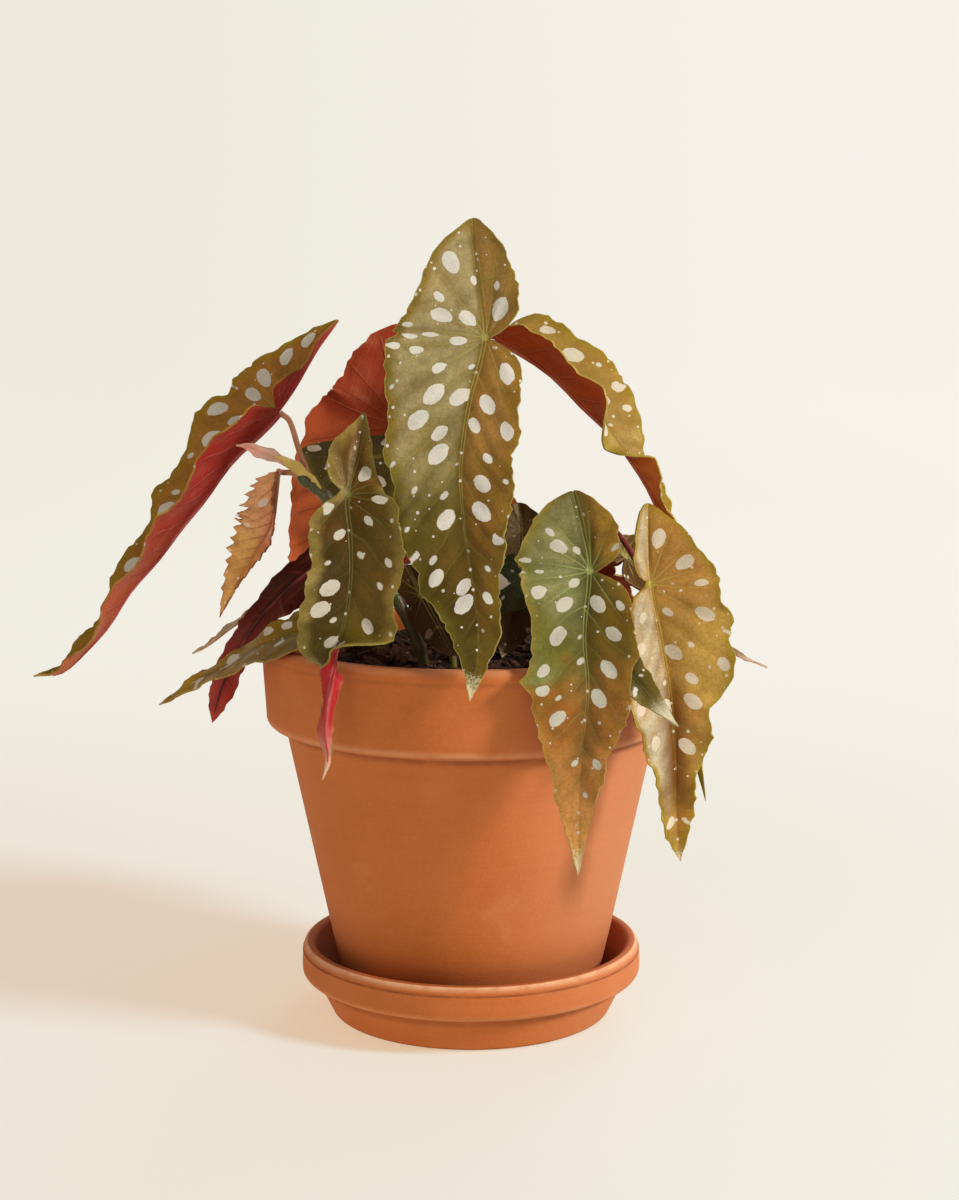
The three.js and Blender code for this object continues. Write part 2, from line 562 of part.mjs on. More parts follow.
// Soil: fills the pot, with a rough top and a plain hole for each cane
function soilGeometry() {
  const rings = [56, 42, 28, 14];
  const clear = (z) => innerRadius(z) - GAP;
  const bottom = potBase + POT_FLOOR + GAP;
  const profile = [
    [0, bottom],
    [clear(bottom) - 3, bottom],
    ...[bottom + 3, COLLAR_BOTTOM, COLLAR_BOTTOM + 6, SOIL_TOP - 2].map((z) => [clear(z), z]),
    ...rings.map((r) => [r, SOIL_TOP]),
    [0, SOIL_TOP],
  ];
  const geometry = turned(profile);
  const place = geometry.attributes.position;
  for (let i = 0; i < place.count; i++) {
    const [x, y, z] = [place.getX(i), place.getY(i), place.getZ(i)];
    if (z < SOIL_TOP - 1) continue;
    const bumps = Math.sin(0.31 * x + 0.9) * Math.cos(0.27 * y) + 0.6 * Math.sin(0.53 * y - 0.4 * x);
    place.setZ(i, z + 0.9 * bumps);
  }
  let solid = solidOf(geometry);
  for (const { foot: [x, y], radius } of Object.values(stems)) {
    const hole = tube(
      [CANE_FOOT - GAP, SOIL_TOP - 10, SOIL_TOP + 6].map((z) => new THREE.Vector3(x, y, z)),
      radius + GAP, CANE_SIDES, 2,
    );
    solid = solid.subtract(solidOf(hole));
  }
  return geometryOf(solid);
}

const plant = new THREE.Group();

function addMesh(name, geometry, colour, roughness) {
  const mesh = new THREE.Mesh(geometry, material(colour, roughness));
  mesh.name = name;
  plant.add(mesh);
}

addMesh('pot', turned(potProfile()), colours.clay, 0.85);
addMesh('saucer', turned(saucerProfile()), colours.clay, 0.85);
addMesh('soil', soilGeometry(), colours.soil, 0.95);

const blades = {};
for (const [name, spec] of Object.entries(leaves)) {
  blades[name] = new Blade(spec);
  addMesh(name, blades[name].geometry(spec.rows, spec.columns ?? 4), spec.colour, 0.5);
}
for (const [name, stem] of Object.entries(stems)) {
  addMesh(name, geometryOf(stemSolid(stem, blades)), stem.colour, 0.6);
}

export default plant;
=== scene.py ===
"""Potted polka dot begonia: the leaves, stems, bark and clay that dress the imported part."""

import math
import random

import bpy
import numpy as np
from mathutils import Matrix, Vector


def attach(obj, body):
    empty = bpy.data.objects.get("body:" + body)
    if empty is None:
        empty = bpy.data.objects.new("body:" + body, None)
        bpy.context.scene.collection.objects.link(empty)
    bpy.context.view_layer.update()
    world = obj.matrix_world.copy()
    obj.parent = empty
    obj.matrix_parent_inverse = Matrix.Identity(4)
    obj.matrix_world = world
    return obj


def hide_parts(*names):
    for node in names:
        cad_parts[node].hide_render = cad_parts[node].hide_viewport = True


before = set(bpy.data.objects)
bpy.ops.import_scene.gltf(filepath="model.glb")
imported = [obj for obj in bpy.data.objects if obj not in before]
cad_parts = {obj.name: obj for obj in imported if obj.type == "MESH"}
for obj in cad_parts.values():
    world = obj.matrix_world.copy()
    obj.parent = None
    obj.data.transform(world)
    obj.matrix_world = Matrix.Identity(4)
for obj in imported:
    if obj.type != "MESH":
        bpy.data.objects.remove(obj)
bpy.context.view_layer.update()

MM = 0.001
CLOSE = 0.00001  # points nearer to each other than this, in metres, become one
LEFT = -1
RIGHT = 1

# The camera stands where the photograph was taken from
CAMERA_PLACE = (0.00314, -0.801, 0.2712)
CAMERA_PITCH = 8.46
FOCAL_PIXELS = 2230
PHOTO_WIDTH = 959
SENSOR = 36

# Sizes of the clay and the soil, in millimetres, as the part's source has them
RIM_RADIUS = 76
POT_TOP = 139.4
COLLAR_BOTTOM = 107.8
WALL_TOP_RADIUS = 67.8
FOOT_RADIUS = 46
WALL = 5.2
POT_BASE = 5.35
POT_FLOOR = 6
DRAIN_RADIUS = 8
SAUCER_FLOOR = 5
SAUCER_HEIGHT = 26.3
SAUCER_RADIUS = 62.4
SAUCER_FOOT_RADIUS = 51.5
SOIL_TOP = 130
CANE_FOOT = SOIL_TOP - 28
CANE_SHARE = 0.93  # a cane's width between its rings
CANE_STEPS = 14  # from one point of its path to the next
STALK_STEPS = 9
STALK_GAP = 0.5  # between a stalk's end and its blade
RING_SPACING = 16  # of the rings on a cane
BARK_REACH = 61
TURNS = 144  # steps in which clay is spun

# Leaf blades
ROUND_END = 0.09  # share of the length in which the lobe's end rounds off
NOTCH_REACH = 0.05  # share of the length over which the notch opens
BLADE = 0.7
ROW = 1.5  # length of a blade's faces
FINE_ROW = 0.5  # the same on the young leaf
WRAP_ROW = 0.6  # and on the bract
VEIN_SPACING = 12.0
YOUNG_VEIN_SPACING = 4.5  # pleats of the young leaf
FAN_SPACING = math.radians(27)  # between the veins that fan out from the joint
VEIN_LENGTH = 14.0
SPOT_ROOM = 10.2  # from one silver spot to the next
SPOT_LONG = 1.55  # times as long as wide
PUFF = 0.35  # how far the blade swells between its veins
CRINKLE = 0.6  # small bays in a blade's edge
RIB_END = 0.93  # share of the length at which the raised midrib ends
RIB_STEPS = 26
RIB_RADII = (0.9, 0.16)
SLIM_RIB, FULL_RIB = 0.45, 260  # a short leaf's midrib is slimmer than a long one's
TEETH = 15  # of the young leaf, on each side


def rgb(code):
    """A colour written as six hex digits, in linear light."""
    parts = [int(code[i : i + 2], 16) / 255 for i in (0, 2, 4)]
    return (*[c / 12.92 if c <= 0.04045 else ((c + 0.055) / 1.055) ** 2.4 for c in parts], 1.0)


class Socket:
    """A node's output, which sums can be written with."""

    def __init__(self, finish, output):
        self.finish = finish
        self.output = output

    def maths(self, operation, other=0.0):
        return self.finish.maths(operation, self, other)

    def __add__(self, other):
        return self.maths("ADD", other)

    __radd__ = __add__

    def __sub__(self, other):
        return self.maths("SUBTRACT", other)

    def __rsub__(self, other):
        return self.finish.maths("SUBTRACT", other, self)

    def __mul__(self, other):
        return self.maths("MULTIPLY", other)

    __rmul__ = __mul__

    def __abs__(self):
        return self.maths("ABSOLUTE")

    def between(self, low, high, start=0.0, end=1.0, ease="SMOOTHSTEP"):
        """start where this is at low, end where it is at high, with a soft change between them."""
        ends = {"Value": self, "From Min": low, "From Max": high, "To Min": start, "To Max": end}
        return self.finish.node("ShaderNodeMapRange", {"interpolation_type": ease, "clamp": True}, ends)


class Finish:
    """A material and the nodes that paint it. Colours are Sockets or six hex digits."""

    def __init__(self, name, shift=0.0):
        self.material = bpy.data.materials.new(name)
        self.material.use_nodes = True
        self.tree = self.material.node_tree
        self.tree.nodes.clear()
        self.shift = shift
        self.place = self.node("ShaderNodeTexCoord", output="Object")
        self.base = None

    def node(self, kind, settings=None, inputs=None, output=0):
        """A new node: its type, its settings, and the values or links of its sockets."""
        made = self.tree.nodes.new(kind)
        for key, value in (settings or {}).items():
            setattr(made, key, value)
        for key, value in (inputs or {}).items():
            if isinstance(value, Socket):
                self.tree.links.new(value.output, made.inputs[key])
            else:
                made.inputs[key].default_value = rgb(value) if isinstance(value, str) else value
        return Socket(self, made.outputs[output]) if made.outputs else None

    def maths(self, operation, first, second):
        return self.node("ShaderNodeMath", {"operation": operation}, {0: first, 1: second})

    def uv(self, name):
        return self.split(self.node("ShaderNodeUVMap", {"uv_map": name}))

    def split(self, vector):
        parts = self.node("ShaderNodeSeparateXYZ", None, {0: vector})
        return [Socket(self, output) for output in parts.output.node.outputs]

    def join(self, x, y):
        return self.node("ShaderNodeCombineXYZ", None, {0: x, 1: y})

    def length(self, vector):
        return self.node("ShaderNodeVectorMath", {"operation": "LENGTH"}, {0: vector}, 1)

    def stretch(self, vector, x, y, z):
        return self.node("ShaderNodeMapping", None, {"Vector": vector, "Scale": (x, y, z)})

    def mix(self, share, first, second):
        settings = {"data_type": "RGBA", "clamp_factor": True}
        return self.node("ShaderNodeMix", settings, {0: share, 6: first, 7: second}, 2)

    def tint(self, share, colour):
        """Paints a share of this colour over what is there."""
        self.base = self.mix(share, self.base, colour)

    def noise(self, scale, detail=2.0, rough=0.5, vector=None, shift=0.0):
        values = {
            "Vector": vector or self.place, "W": self.shift + shift, "Scale": scale, "Detail": detail,
            "Roughness": rough,
        }
        return self.node("ShaderNodeTexNoise", {"noise_dimensions": "4D"}, values)

    def cells(self, vector, scale=1.0, randomness=1.0, feature="F1", dimensions="2D"):
        """The outputs of a pattern of cells: how far from the nearest cell's point, a colour of its own,
        and its place."""
        settings = {"feature": feature, "voronoi_dimensions": dimensions}
        values = {"Vector": vector, "Scale": scale, "Randomness": randomness}
        made = self.node("ShaderNodeTexVoronoi", settings, values)
        return [Socket(self, output) for output in made.output.node.outputs[:3]]

    def shade(self, roughness, height=None, depth=0.0, strength=0.0, **fixed):
        """Ends the material in a Principled shader; fixed holds what is the same all over."""
        values = {"Base Color": self.base, "Roughness": roughness, **fixed}
        if height:
            bump = {"Height": height, "Distance": depth, "Strength": strength}
            values["Normal"] = self.node("ShaderNodeBump", None, bump)
        shader = self.node("ShaderNodeBsdfPrincipled", None, values)
        self.node("ShaderNodeOutputMaterial", None, {"Surface": shader})
        return self.material


# Leaf finishes. Distances on a blade are in millimetres, scales of noise are per metre.

LEAF_SHINE = {"Specular IOR Level": 0.28, "Specular Tint": (1.0, 0.8, 0.45, 1.0)}
SHEAR = 0.3  # slant of the rows of spots
RELIEF = 0.0006  # height of the veins, in metres
STIPPLE = "a09886"
LOOK_SHIFT = 3.7  # moves the patterns on from one leaf to the next


class LeafFinish(Finish):
    """What both sides of a blade are painted from: places on it, its veins, its spots and its grain."""

    def __init__(self, name, look, shift):
        super().__init__(name, shift)
        self.look = look
        self.u, self.s, _ = self.uv("blade")
        self.across, self.down, _ = self.uv("flat")
        self.flat = self.join(self.across, self.down)
        self.half = abs(self.across)
        self.edge, spacing, _ = self.uv("edge")
        self.off = self.uv("veins")[0].maths("PINGPONG", 0.5) * spacing
        self.net = self.cells(self.flat, 0.42, 1.0, "DISTANCE_TO_EDGE")[0]
        self.grain = self.noise(1400.0)
        self.silver = self.spots()

    def spots(self):
        """Silver ovals that lie along the veins, and dots of several sizes that crowd towards the edge."""
        vein_x, vein_y, _ = self.uv("direction")
        wobble = self.noise(0.6, vector=self.flat) - 0.5
        cell = 1.0 / SPOT_ROOM
        grid = self.join(self.across * cell + self.down * (SHEAR * cell) + self.shift, self.down * cell)
        _, colour, place = self.cells(grid, 1.0, 0.5)
        own = self.split(colour)[0]
        seed_x, seed_y, _ = self.split(place)
        seed_down = seed_y * SPOT_ROOM
        seed_across = (seed_x - self.shift) * SPOT_ROOM - seed_down * SHEAR
        x, y = self.across - seed_across, self.down - seed_down
        lengthwise = (x * vein_x + y * vein_y) * (1.0 / SPOT_LONG)
        crosswise = x * vein_y - y * vein_x
        clear = abs(seed_across)
        room = self.edge.between(0.5, 4.5, 0.3) * clear.between(0.8, 3.6)
        room = room * (clear + abs(seed_down)).between(7.0, 12.0)
        reach = (own.between(0.04, 0.6, 0.8, 2.5 * self.look["size"], ease="LINEAR") + wobble * 0.8) * room
        big = (lengthwise * lengthwise + crosswise * crosswise - reach * reach).between(0.35, -0.35)
        fine, colour, _ = self.cells(self.stretch(self.flat, 0.2, 0.2, 0.2))
        chance = self.split(colour)[0]
        wanted = (chance - self.edge.between(1.0, 8.0, 0.0, 0.25)).between(0.4, 0.42)
        small = (fine - chance * chance * chance * 0.11).between(0.02, -0.005) * wanted
        return big.maths("MAXIMUM", small)

    def end(self, rim_share, height, roughness):
        """The thin rim, which both sides share, and the shader."""
        thin = (self.edge + self.grain * 0.3 - 0.15).between(0.4, 0.1)
        self.tint(thin * rim_share, self.look["rim"])
        return self.shade(roughness, height, RELIEF, 0.7, **LEAF_SHINE)


def upper_finish(name, look, shift):
    """The upper side: mottled green to gold, silver spots, pale veins and a thin bright rim."""
    finish = LeafFinish(name, look, shift)
    s, edge, down, half, off = finish.s, finish.edge, finish.down, finish.half, finish.off
    shade = look["shade"]
    patch = finish.noise(55.0, 3.0)
    stain = finish.noise(30.0, shift=6.0)
    cloud = finish.noise(140.0, 3.0, shift=2.0)
    grain = finish.grain

    side = finish.u.between(0.47, 0.53)
    drop = s + patch * 0.4 - 0.2
    top = finish.mix(side, *look["upper"][:2])
    low = finish.mix(side, *look["upper"][2:])
    finish.base = finish.mix(drop.between(*look["turn"]), top, low)
    crown = (down + patch * 10.0 - 5.0).between(1.0, -6.0)
    finish.tint(crown * look["crown_share"], finish.mix(side, *look["crown"]))
    finish.tint(patch.between(0.4, 0.7) * 0.4, look["mottle"])
    finish.tint(stain.between(0.45, 0.62) * look["stain_share"], look["stain"])
    blush, start, full = look["blush"]
    finish.tint(drop.between(start, full), blush)
    margin = (edge + patch * 7.0 - 3.5).between(4.5, 0.0)
    finish.tint(margin * look["margin_share"], look["margin"])

    inner = edge.between(0.5, 8.0)
    from_hub = finish.length(finish.flat)
    near = from_hub.between(look["vein_reach"], 2.0, 0.1, 0.5)
    thick = down.between(0.0, 90.0, 0.8, 0.3)
    double = abs(half - thick * 0.75) - thick * 0.25
    rib = double.between(0.1, -0.05) * s.between(0.9, 0.25, 0.2) * down.between(-8.0, 0.0, 0.35)
    # Painted shade in the sunken valleys along the veins, away from the edge.
    finish.tint(off.between(2.6, 0.4) * inner * 0.18, shade)
    # Painted reflection: a pale grey-gold tint between the veins, with its own share on each half, stands in
    # for the soft reflection of the lamps.
    left, right, last = look["haze"]
    haze = (side * (right - left) + left) * off.between(0.3, 3.0, 0.6) * half.between(0.7, 2.4)
    haze = haze * edge.between(*look["haze_edge"]) * drop.between(last, last - 0.22)
    finish.tint(haze * cloud.between(0.25, 0.5, 0.6), look["sheen"])
    # Painted shade along the sunken midrib, with its own width and share in the upper and the lower blade,
    # fading before the tip.
    wide, high_share, low_share = look["groove"]
    groove = half.between(wide, 0.3) * drop.between(0.35, 0.6, high_share, low_share)
    finish.tint(groove * s.between(0.88, 0.72), shade)
    finish.tint(cloud.between(0.48, 0.66) * 0.28, shade)
    finish.tint(finish.net.between(0.14, 0.0) * 0.16, shade)
    finish.tint(grain.between(0.45, 0.75) * 0.25, shade)
    finish.tint(off.between(0.45, 0.1) * inner * near, look["vein"])

    stipple = finish.noise(3600.0, 1.0).between(0.45, 0.7)
    worn = finish.noise(260.0).between(0.2, 0.45, 0.8)
    finish.tint(finish.silver * worn, finish.mix(stipple * 0.45, look["spot"], STIPPLE))
    hub = from_hub.between(1.8, 0.7)
    finish.tint((rib * 0.5).maths("MAXIMUM", hub * 0.85), look["vein"])
    frost = look["frost"]
    finish.tint((s + grain * 0.1 - 0.05).between(1.0 - frost, 1.0 - frost * 0.3), look["tip"])

    height = off.between(0.0, 3.6) * 0.4 + grain * 0.06 - rib * 0.1
    height = height + finish.net.between(0.0, 0.16) * 0.05 + finish.silver * 0.08 + cloud * 0.5
    gloss = look["gloss"]
    return finish.end(0.55, height, grain.between(0.3, 0.7, gloss, gloss + 0.12) + finish.silver * 0.12)


def under_finish(name, look, shift):
    """The underside: crimson to orange, with raised veins that are paler."""
    finish = LeafFinish(name, look, shift)
    s, edge, off, net = finish.s, finish.edge, finish.off, finish.net
    by_stalk, by_tip, patches, veins = look["under"]
    patch = finish.noise(60.0, 3.0, shift=4.0)
    drop = s + patch * 0.3 - 0.15
    inner = edge.between(0.5, 6.0)
    vein = off.between(0.6, 0.15) * inner
    rib = finish.half.between(1.2, 0.5) * s.between(0.98, 0.7)
    lengthwise = finish.join(finish.across * 0.9, finish.down * 0.05)
    streak = finish.noise(1.0, 3.0, 0.55, lengthwise)
    finish.base = finish.mix(drop.between(*look["fade"]), by_stalk, by_tip)
    finish.tint(patch.between(0.4, 0.75) * 0.5, patches)
    finish.tint(streak.between(0.5, 0.68) * 0.3, veins)
    finish.tint(off.between(3.0, 0.4) * inner * 0.25, patches)
    finish.tint(net.between(0.1, 0.0) * 0.08, veins)
    finish.tint((vein * 0.3).maths("MAXIMUM", rib * 0.5), veins)
    finish.tint(finish.silver * look["through"], look["ghost"])
    finish.tint(s.between(0.9, 0.97) * look["end_share"], look["end"])
    height = vein.maths("MAXIMUM", rib) * 0.6 + net.between(0.16, 0.0) * 0.07 + finish.grain * 0.05
    return finish.end(0.4, height, finish.grain.between(0.3, 0.7, 0.42, 0.56))


def span(count, s):
    """Between which of so many evenly spaced stops s lies, and where there."""
    place = np.clip(s, 0, 1) * (count - 1)
    i = np.minimum(place.astype(int), max(count - 2, 0))
    return i, (place - i)[:, None]


def along(stops, s):
    """Values that change along a leaf, given as evenly spaced stops."""
    stops = np.asarray(stops, float)
    i, t = span(len(stops), s)
    t = t * t * (3 - 2 * t)
    return stops[i] * (1 - t) + stops[np.minimum(i + 1, len(stops) - 1)] * t


def smooth(stations, s):
    """The same, but on a smooth curve through every column of the stations."""
    rows = np.asarray(stations, float)
    rows = np.vstack([2 * rows[0] - rows[1], rows, 2 * rows[-1] - rows[-2]])
    i, t = span(len(stations), s)
    a, b, c, d = (rows[i + k] for k in range(4))
    return b + 0.5 * t * (c - a + t * (2 * a - 5 * b + 4 * c - d + t * (3 * (b - c) + d - a)))


def unit(vectors):
    return vectors / np.maximum(np.linalg.norm(vectors, axis=1, keepdims=True), 1e-12)


class Blade:
    """A leaf blade. stations: x, y, z of the midrib, and how far the left and right halves reach.
    face: where the upper side looks. fold: degrees by which each half rises from the midrib.
    joint: the station that the stalk meets. notch: the half that is cut in there. slant: how far down
    the veins run for each millimetre outwards, on the left and the right."""

    def __init__(
        self, stations, fold, face=((0, -1, 0),), joint=1, notch=0, wave=1.0, waves=6, phase=0.0,
        scallop=0.05, teeth=0.0, slant=(1.0, 1.1), spacing=VEIN_SPACING,
    ):
        self.stations, self.face, self.fold = stations, face, fold
        self.notch, self.wave, self.waves, self.phase = notch, wave, waves, phase
        self.scallop, self.teeth, self.slant, self.spacing = scallop, teeth, slant, spacing
        self.joint_at = joint / (len(stations) - 1)
        self.marks = np.linspace(0, 1, 401)
        steps = np.linalg.norm(np.diff(self.rib(self.marks), axis=0), axis=1)
        self.lengths = np.concatenate([[0], np.cumsum(steps)])
        self.length = self.lengths[-1]
        self.joint_down = np.interp(self.joint_at, self.marks, self.lengths)

    def rib(self, s):
        return smooth(self.stations, s)[:, :3]

    def frame(self, s):
        ahead = unit(self.rib(np.minimum(1, s + 0.01)) - self.rib(np.maximum(0, s - 0.01)))
        across = unit(np.cross(along(self.face, s), ahead))
        return across, np.cross(ahead, across)

    def reach(self, s, side):
        columns = smooth(self.stations, s)
        reach = np.where(side < 0, columns[:, 3], columns[:, 4])
        start = np.clip(1 - s / ROUND_END, 0, 1)
        reach = reach * np.sqrt(1 - start**2)
        opening = np.minimum(1, np.abs(s - self.joint_at) / NOTCH_REACH)
        reach = np.where(side == self.notch, reach * (1 - 0.9 * (1 - opening) ** 2), reach)
        turn = 2 * np.pi * self.waves * s + self.phase + side
        reach = reach * (1 + self.scallop * np.sin(1.2 * turn + np.sin(0.7 * turn)))
        if self.teeth:
            tooth = (s * TEETH + 0.3 * np.sin(9 * s) + 0.37 * side) % 1
            depth = self.teeth * (1 + 0.3 * np.sin(31 * s + side))
            return np.maximum(reach * (1 + depth * (tooth**1.7 - 0.4)), 0)
        down = np.interp(s, self.marks, self.lengths)
        crinkle = np.sin(1.05 * down + 2 * np.sin(0.23 * down + side))
        crinkle = crinkle * np.sin(0.31 * down + self.phase + side)
        return np.maximum(reach + CRINKLE * (crinkle - 0.6) * np.minimum(1, reach / 6), 0)

    def point(self, s, u):
        """u runs from -1 at the left edge to 1 at the right one, seen with the tip down."""
        side = np.where(u < 0, -1, 1)
        v = np.abs(u) * self.reach(s, side)
        across, up = self.frame(s)
        degrees = along(self.fold, s)
        fold = np.radians(np.where(side < 0, degrees[:, 0], degrees[:, 1]))
        turn = 2 * np.pi * self.waves * s + self.phase + np.where(side > 0, 0, 2.1)
        fade = np.minimum(np.minimum(1, 6 * (1 - s)), 8 * s)
        lift = self.wave * u * u * np.sin(turn) * fade
        ruffle = 0.25 * self.wave * u**4 * np.sin(2.6 * turn + 1.7 * np.sin(0.9 * turn)) * fade
        outward = (side * v * np.cos(fold))[:, None]
        upward = (v * np.sin(fold) + lift + ruffle)[:, None]
        return self.rib(s) + across * outward + up * upward

    def normal(self, s, u):
        ds, du = 0.004, 0.08
        lengthwise = self.point(np.minimum(1, s + ds), u) - self.point(np.maximum(0, s - ds), u)
        mid = np.clip(u, -1 + du, 1 - du)
        crosswise = self.point(s, mid + du) - self.point(s, mid - du)
        return unit(np.cross(lengthwise, crosswise))

    def coordinates(self, s, u):
        """What the finishes read: place on the blade, flat place, veins and edge, in millimetres."""
        side = np.where(u < 0, -1, 1)
        reach = self.reach(s, side)
        out = np.abs(u) * reach
        down = np.interp(s, self.marks, self.lengths) - self.joint_down
        slant = np.where(side < 0, self.slant[0], self.slant[1])
        start = down - slant * out
        tilt = np.hypot(1, slant)
        radius = np.hypot(out, down)
        angle = np.arctan(slant) - np.arctan2(down, np.maximum(out, 1e-6))
        uneven = 0.13 * np.sin(0.19 * start + self.phase + side) + 0.05 * np.sin(0.16 * out + 0.4 * down)
        uneven = uneven * np.minimum(1, start / 8)
        below = start >= 0  # where veins leave the midrib; above it they fan out from the joint
        p = np.where(below, start / self.spacing + uneven, -angle / FAN_SPACING)
        q = np.where(below, out * tilt, radius) / VEIN_LENGTH
        spacing = np.where(below, self.spacing / tilt, np.maximum(radius * FAN_SPACING, 0.5))
        radius = np.maximum(radius, 1e-6)
        vein_x, vein_y = np.where(below, 1 / tilt, out / radius), np.where(below, slant / tilt, down / radius)
        return {
            "blade": (u / 2 + 0.5, s),
            "flat": (side * out, down),
            "veins": (p, q),
            "edge": (reach - out, spacing),
            "direction": (side * vein_x, vein_y),
        }

    def relief(self, s, u):
        """Swelling between the veins and a slow unevenness."""
        known = self.coordinates(s, u)
        p, q = known["veins"]
        edge = known["edge"][0]
        puff = PUFF * np.sin(np.pi * p) ** 2 * np.clip(edge / 8, 0, 1) * np.clip(q * 1.5, 0, 1)
        across, down = known["flat"]
        slow = np.sin(0.16 * down + self.phase + 0.11 * across) * np.sin(0.19 * across - 0.07 * down)
        return puff + 0.45 * slow * np.clip(edge / 5, 0, 1)


def deselect():
    if bpy.context.object and bpy.context.object.mode != "OBJECT":
        bpy.ops.object.mode_set(mode="OBJECT")
    bpy.ops.object.select_all(action="DESELECT")


def pick(piece, *others):
    """Selects these pieces alone, the first of them active."""
    deselect()
    for one in (piece, *others):
        one.select_set(True)
    bpy.context.view_layer.objects.active = piece


def named(name):
    piece = bpy.context.object
    piece.name = name
    piece.data.name = name
    return piece


def edit():
    bpy.ops.object.mode_set(mode="EDIT")
    bpy.ops.mesh.select_all(action="SELECT")


def leave():
    bpy.ops.object.mode_set(mode="OBJECT")


def soften(degrees):
    """Smooths the active piece's shading where its faces meet at less than this."""
    bpy.ops.object.shade_smooth_by_angle(angle=math.radians(degrees))


def settle(piece):
    """Puts the piece's place into its mesh."""
    pick(piece)
    bpy.ops.object.transform_apply(location=True, rotation=True, scale=True)


def paint(piece, *materials):
    piece.data.materials.clear()
    for material in materials:
        piece.data.materials.append(material)


def dress(piece, material):
    paint(piece, material)


def write_uv(piece, name, u, v):
    """A UV map whose values are given for each vertex."""
    layer = piece.data.uv_layers.new(name=name)
    corners = np.empty(len(piece.data.loops), dtype=np.int32)
    piece.data.loops.foreach_get("vertex_index", corners)
    layer.data.foreach_set("uv", np.stack([u, v], axis=1)[corners].astype(np.float32).ravel())


def sheet_rows(count):
    """Rows from lobe to tip, closer where the lobe's end rounds off."""
    round_rows = 8
    start = [ROUND_END * (1 - math.cos(k / round_rows * math.pi / 2)) for k in range(round_rows)]
    return np.concatenate([start, np.linspace(ROUND_END, 1, count - round_rows)])


def blade_mesh(name, blade, materials, row):
    """A grid, shaped to the blade, closed at its ends and given its thickness."""
    count = max(24, int(blade.length / row))
    wide = max(max(station[3:]) for station in blade.stations)
    columns = 2 * max(4, int(wide / row))
    deselect()
    bpy.ops.mesh.primitive_grid_add(x_subdivisions=columns, y_subdivisions=count - 1, size=2)
    leaf = named(name)
    mesh = leaf.data
    flat = np.empty(len(mesh.vertices) * 3)
    mesh.vertices.foreach_get("co", flat)
    flat = flat.reshape(-1, 3)
    rows = sheet_rows(count)
    s = rows[np.rint((1 - flat[:, 1]) / 2 * (count - 1)).astype(int)]
    u = flat[:, 0]
    place = blade.point(s, u) + blade.normal(s, u) * blade.relief(s, u)[:, None]
    mesh.vertices.foreach_set("co", (place * MM).ravel())
    for layer, (first, second) in blade.coordinates(s, u).items():
        write_uv(leaf, layer, first, second)
    mesh.uv_layers.remove(mesh.uv_layers["UVMap"])
    mesh.update()
    pick(leaf)
    edit()
    bpy.ops.mesh.remove_doubles(threshold=2 * CLOSE)
    leave()
    paint(leaf, *materials)
    shell = leaf.modifiers.new("thickness", "SOLIDIFY")
    shell.thickness = BLADE * MM
    shell.offset = 0
    shell.material_offset = 1
    shell.material_offset_rim = 0
    bpy.ops.object.modifier_apply(modifier=shell.name)
    soften(55)
    return leaf


def curve_points(points, steps):
    """A smooth curve through the points, as the part's source draws its stems, in so many steps from one
    to the next."""
    points = [Vector(p) for p in points]
    points = [2 * points[0] - points[1], *points, 2 * points[-1] - points[-2]]
    found = []
    for p0, p1, p2, p3 in zip(points, points[1:], points[2:], points[3:]):
        d0, d1, d2 = (math.sqrt(max((b - a).length, 1e-6)) for a, b in ((p0, p1), (p1, p2), (p2, p3)))
        t1 = ((p1 - p0) / d0 - (p2 - p0) / (d0 + d1) + (p2 - p1) / d1) * d1
        t2 = ((p2 - p1) / d1 - (p3 - p1) / (d1 + d2) + (p3 - p2) / d2) * d1
        for k in range(steps):
            t = k / steps
            found.append(
                p1 * (2 * t**3 - 3 * t**2 + 1) + t1 * (t**3 - 2 * t**2 + t)
                + p2 * (3 * t**2 - 2 * t**3) + t2 * (t**3 - t**2)
            )
    return [*found, points[-2]]


def stalk(name, points, radii, material, sides=3):
    """A round stem along the points, drawn as a path with a bevel and made a mesh."""
    deselect()
    bpy.ops.curve.primitive_nurbs_path_add()
    piece = named(name)
    curve = piece.data
    curve.splines.clear()
    spline = curve.splines.new("POLY")
    spline.points.add(len(points) - 1)
    for point, place, radius in zip(spline.points, points, radii):
        point.co = (*[c * MM for c in place], 1)
        point.radius = radius
    curve.bevel_depth = MM
    curve.bevel_resolution = sides
    curve.use_fill_caps = True
    bpy.ops.object.convert(target="MESH")
    piece = named(name)
    paint(piece, material)
    soften(60)
    return piece


def joined(name, pieces):
    pick(*pieces)
    bpy.ops.object.join()
    return named(name)


def spun(name, profile, material):
    """Clay turned from a profile of radius and height, in millimetres, which ends on itself."""
    deselect()
    bpy.ops.mesh.primitive_plane_add(size=0.002, location=(profile[0][0] * MM, 0, profile[0][1] * MM))
    piece = named(name)
    settle(piece)
    edit()
    bpy.ops.mesh.merge(type="CENTER")
    for (r0, z0), (r1, z1) in zip(profile, profile[1:]):
        step = ((r1 - r0) * MM, 0, (z1 - z0) * MM)
        bpy.ops.mesh.extrude_region_move(TRANSFORM_OT_translate={"value": step})
    bpy.ops.mesh.select_all(action="SELECT")
    bpy.ops.mesh.spin(steps=TURNS, angle=2 * math.pi, center=(0, 0, 0), axis=(0, 0, 1))
    bpy.ops.mesh.select_all(action="SELECT")
    bpy.ops.mesh.remove_doubles(threshold=CLOSE)
    bpy.ops.mesh.normals_make_consistent(inside=False)
    leave()
    dress(piece, material)
    soften(40)
    return piece


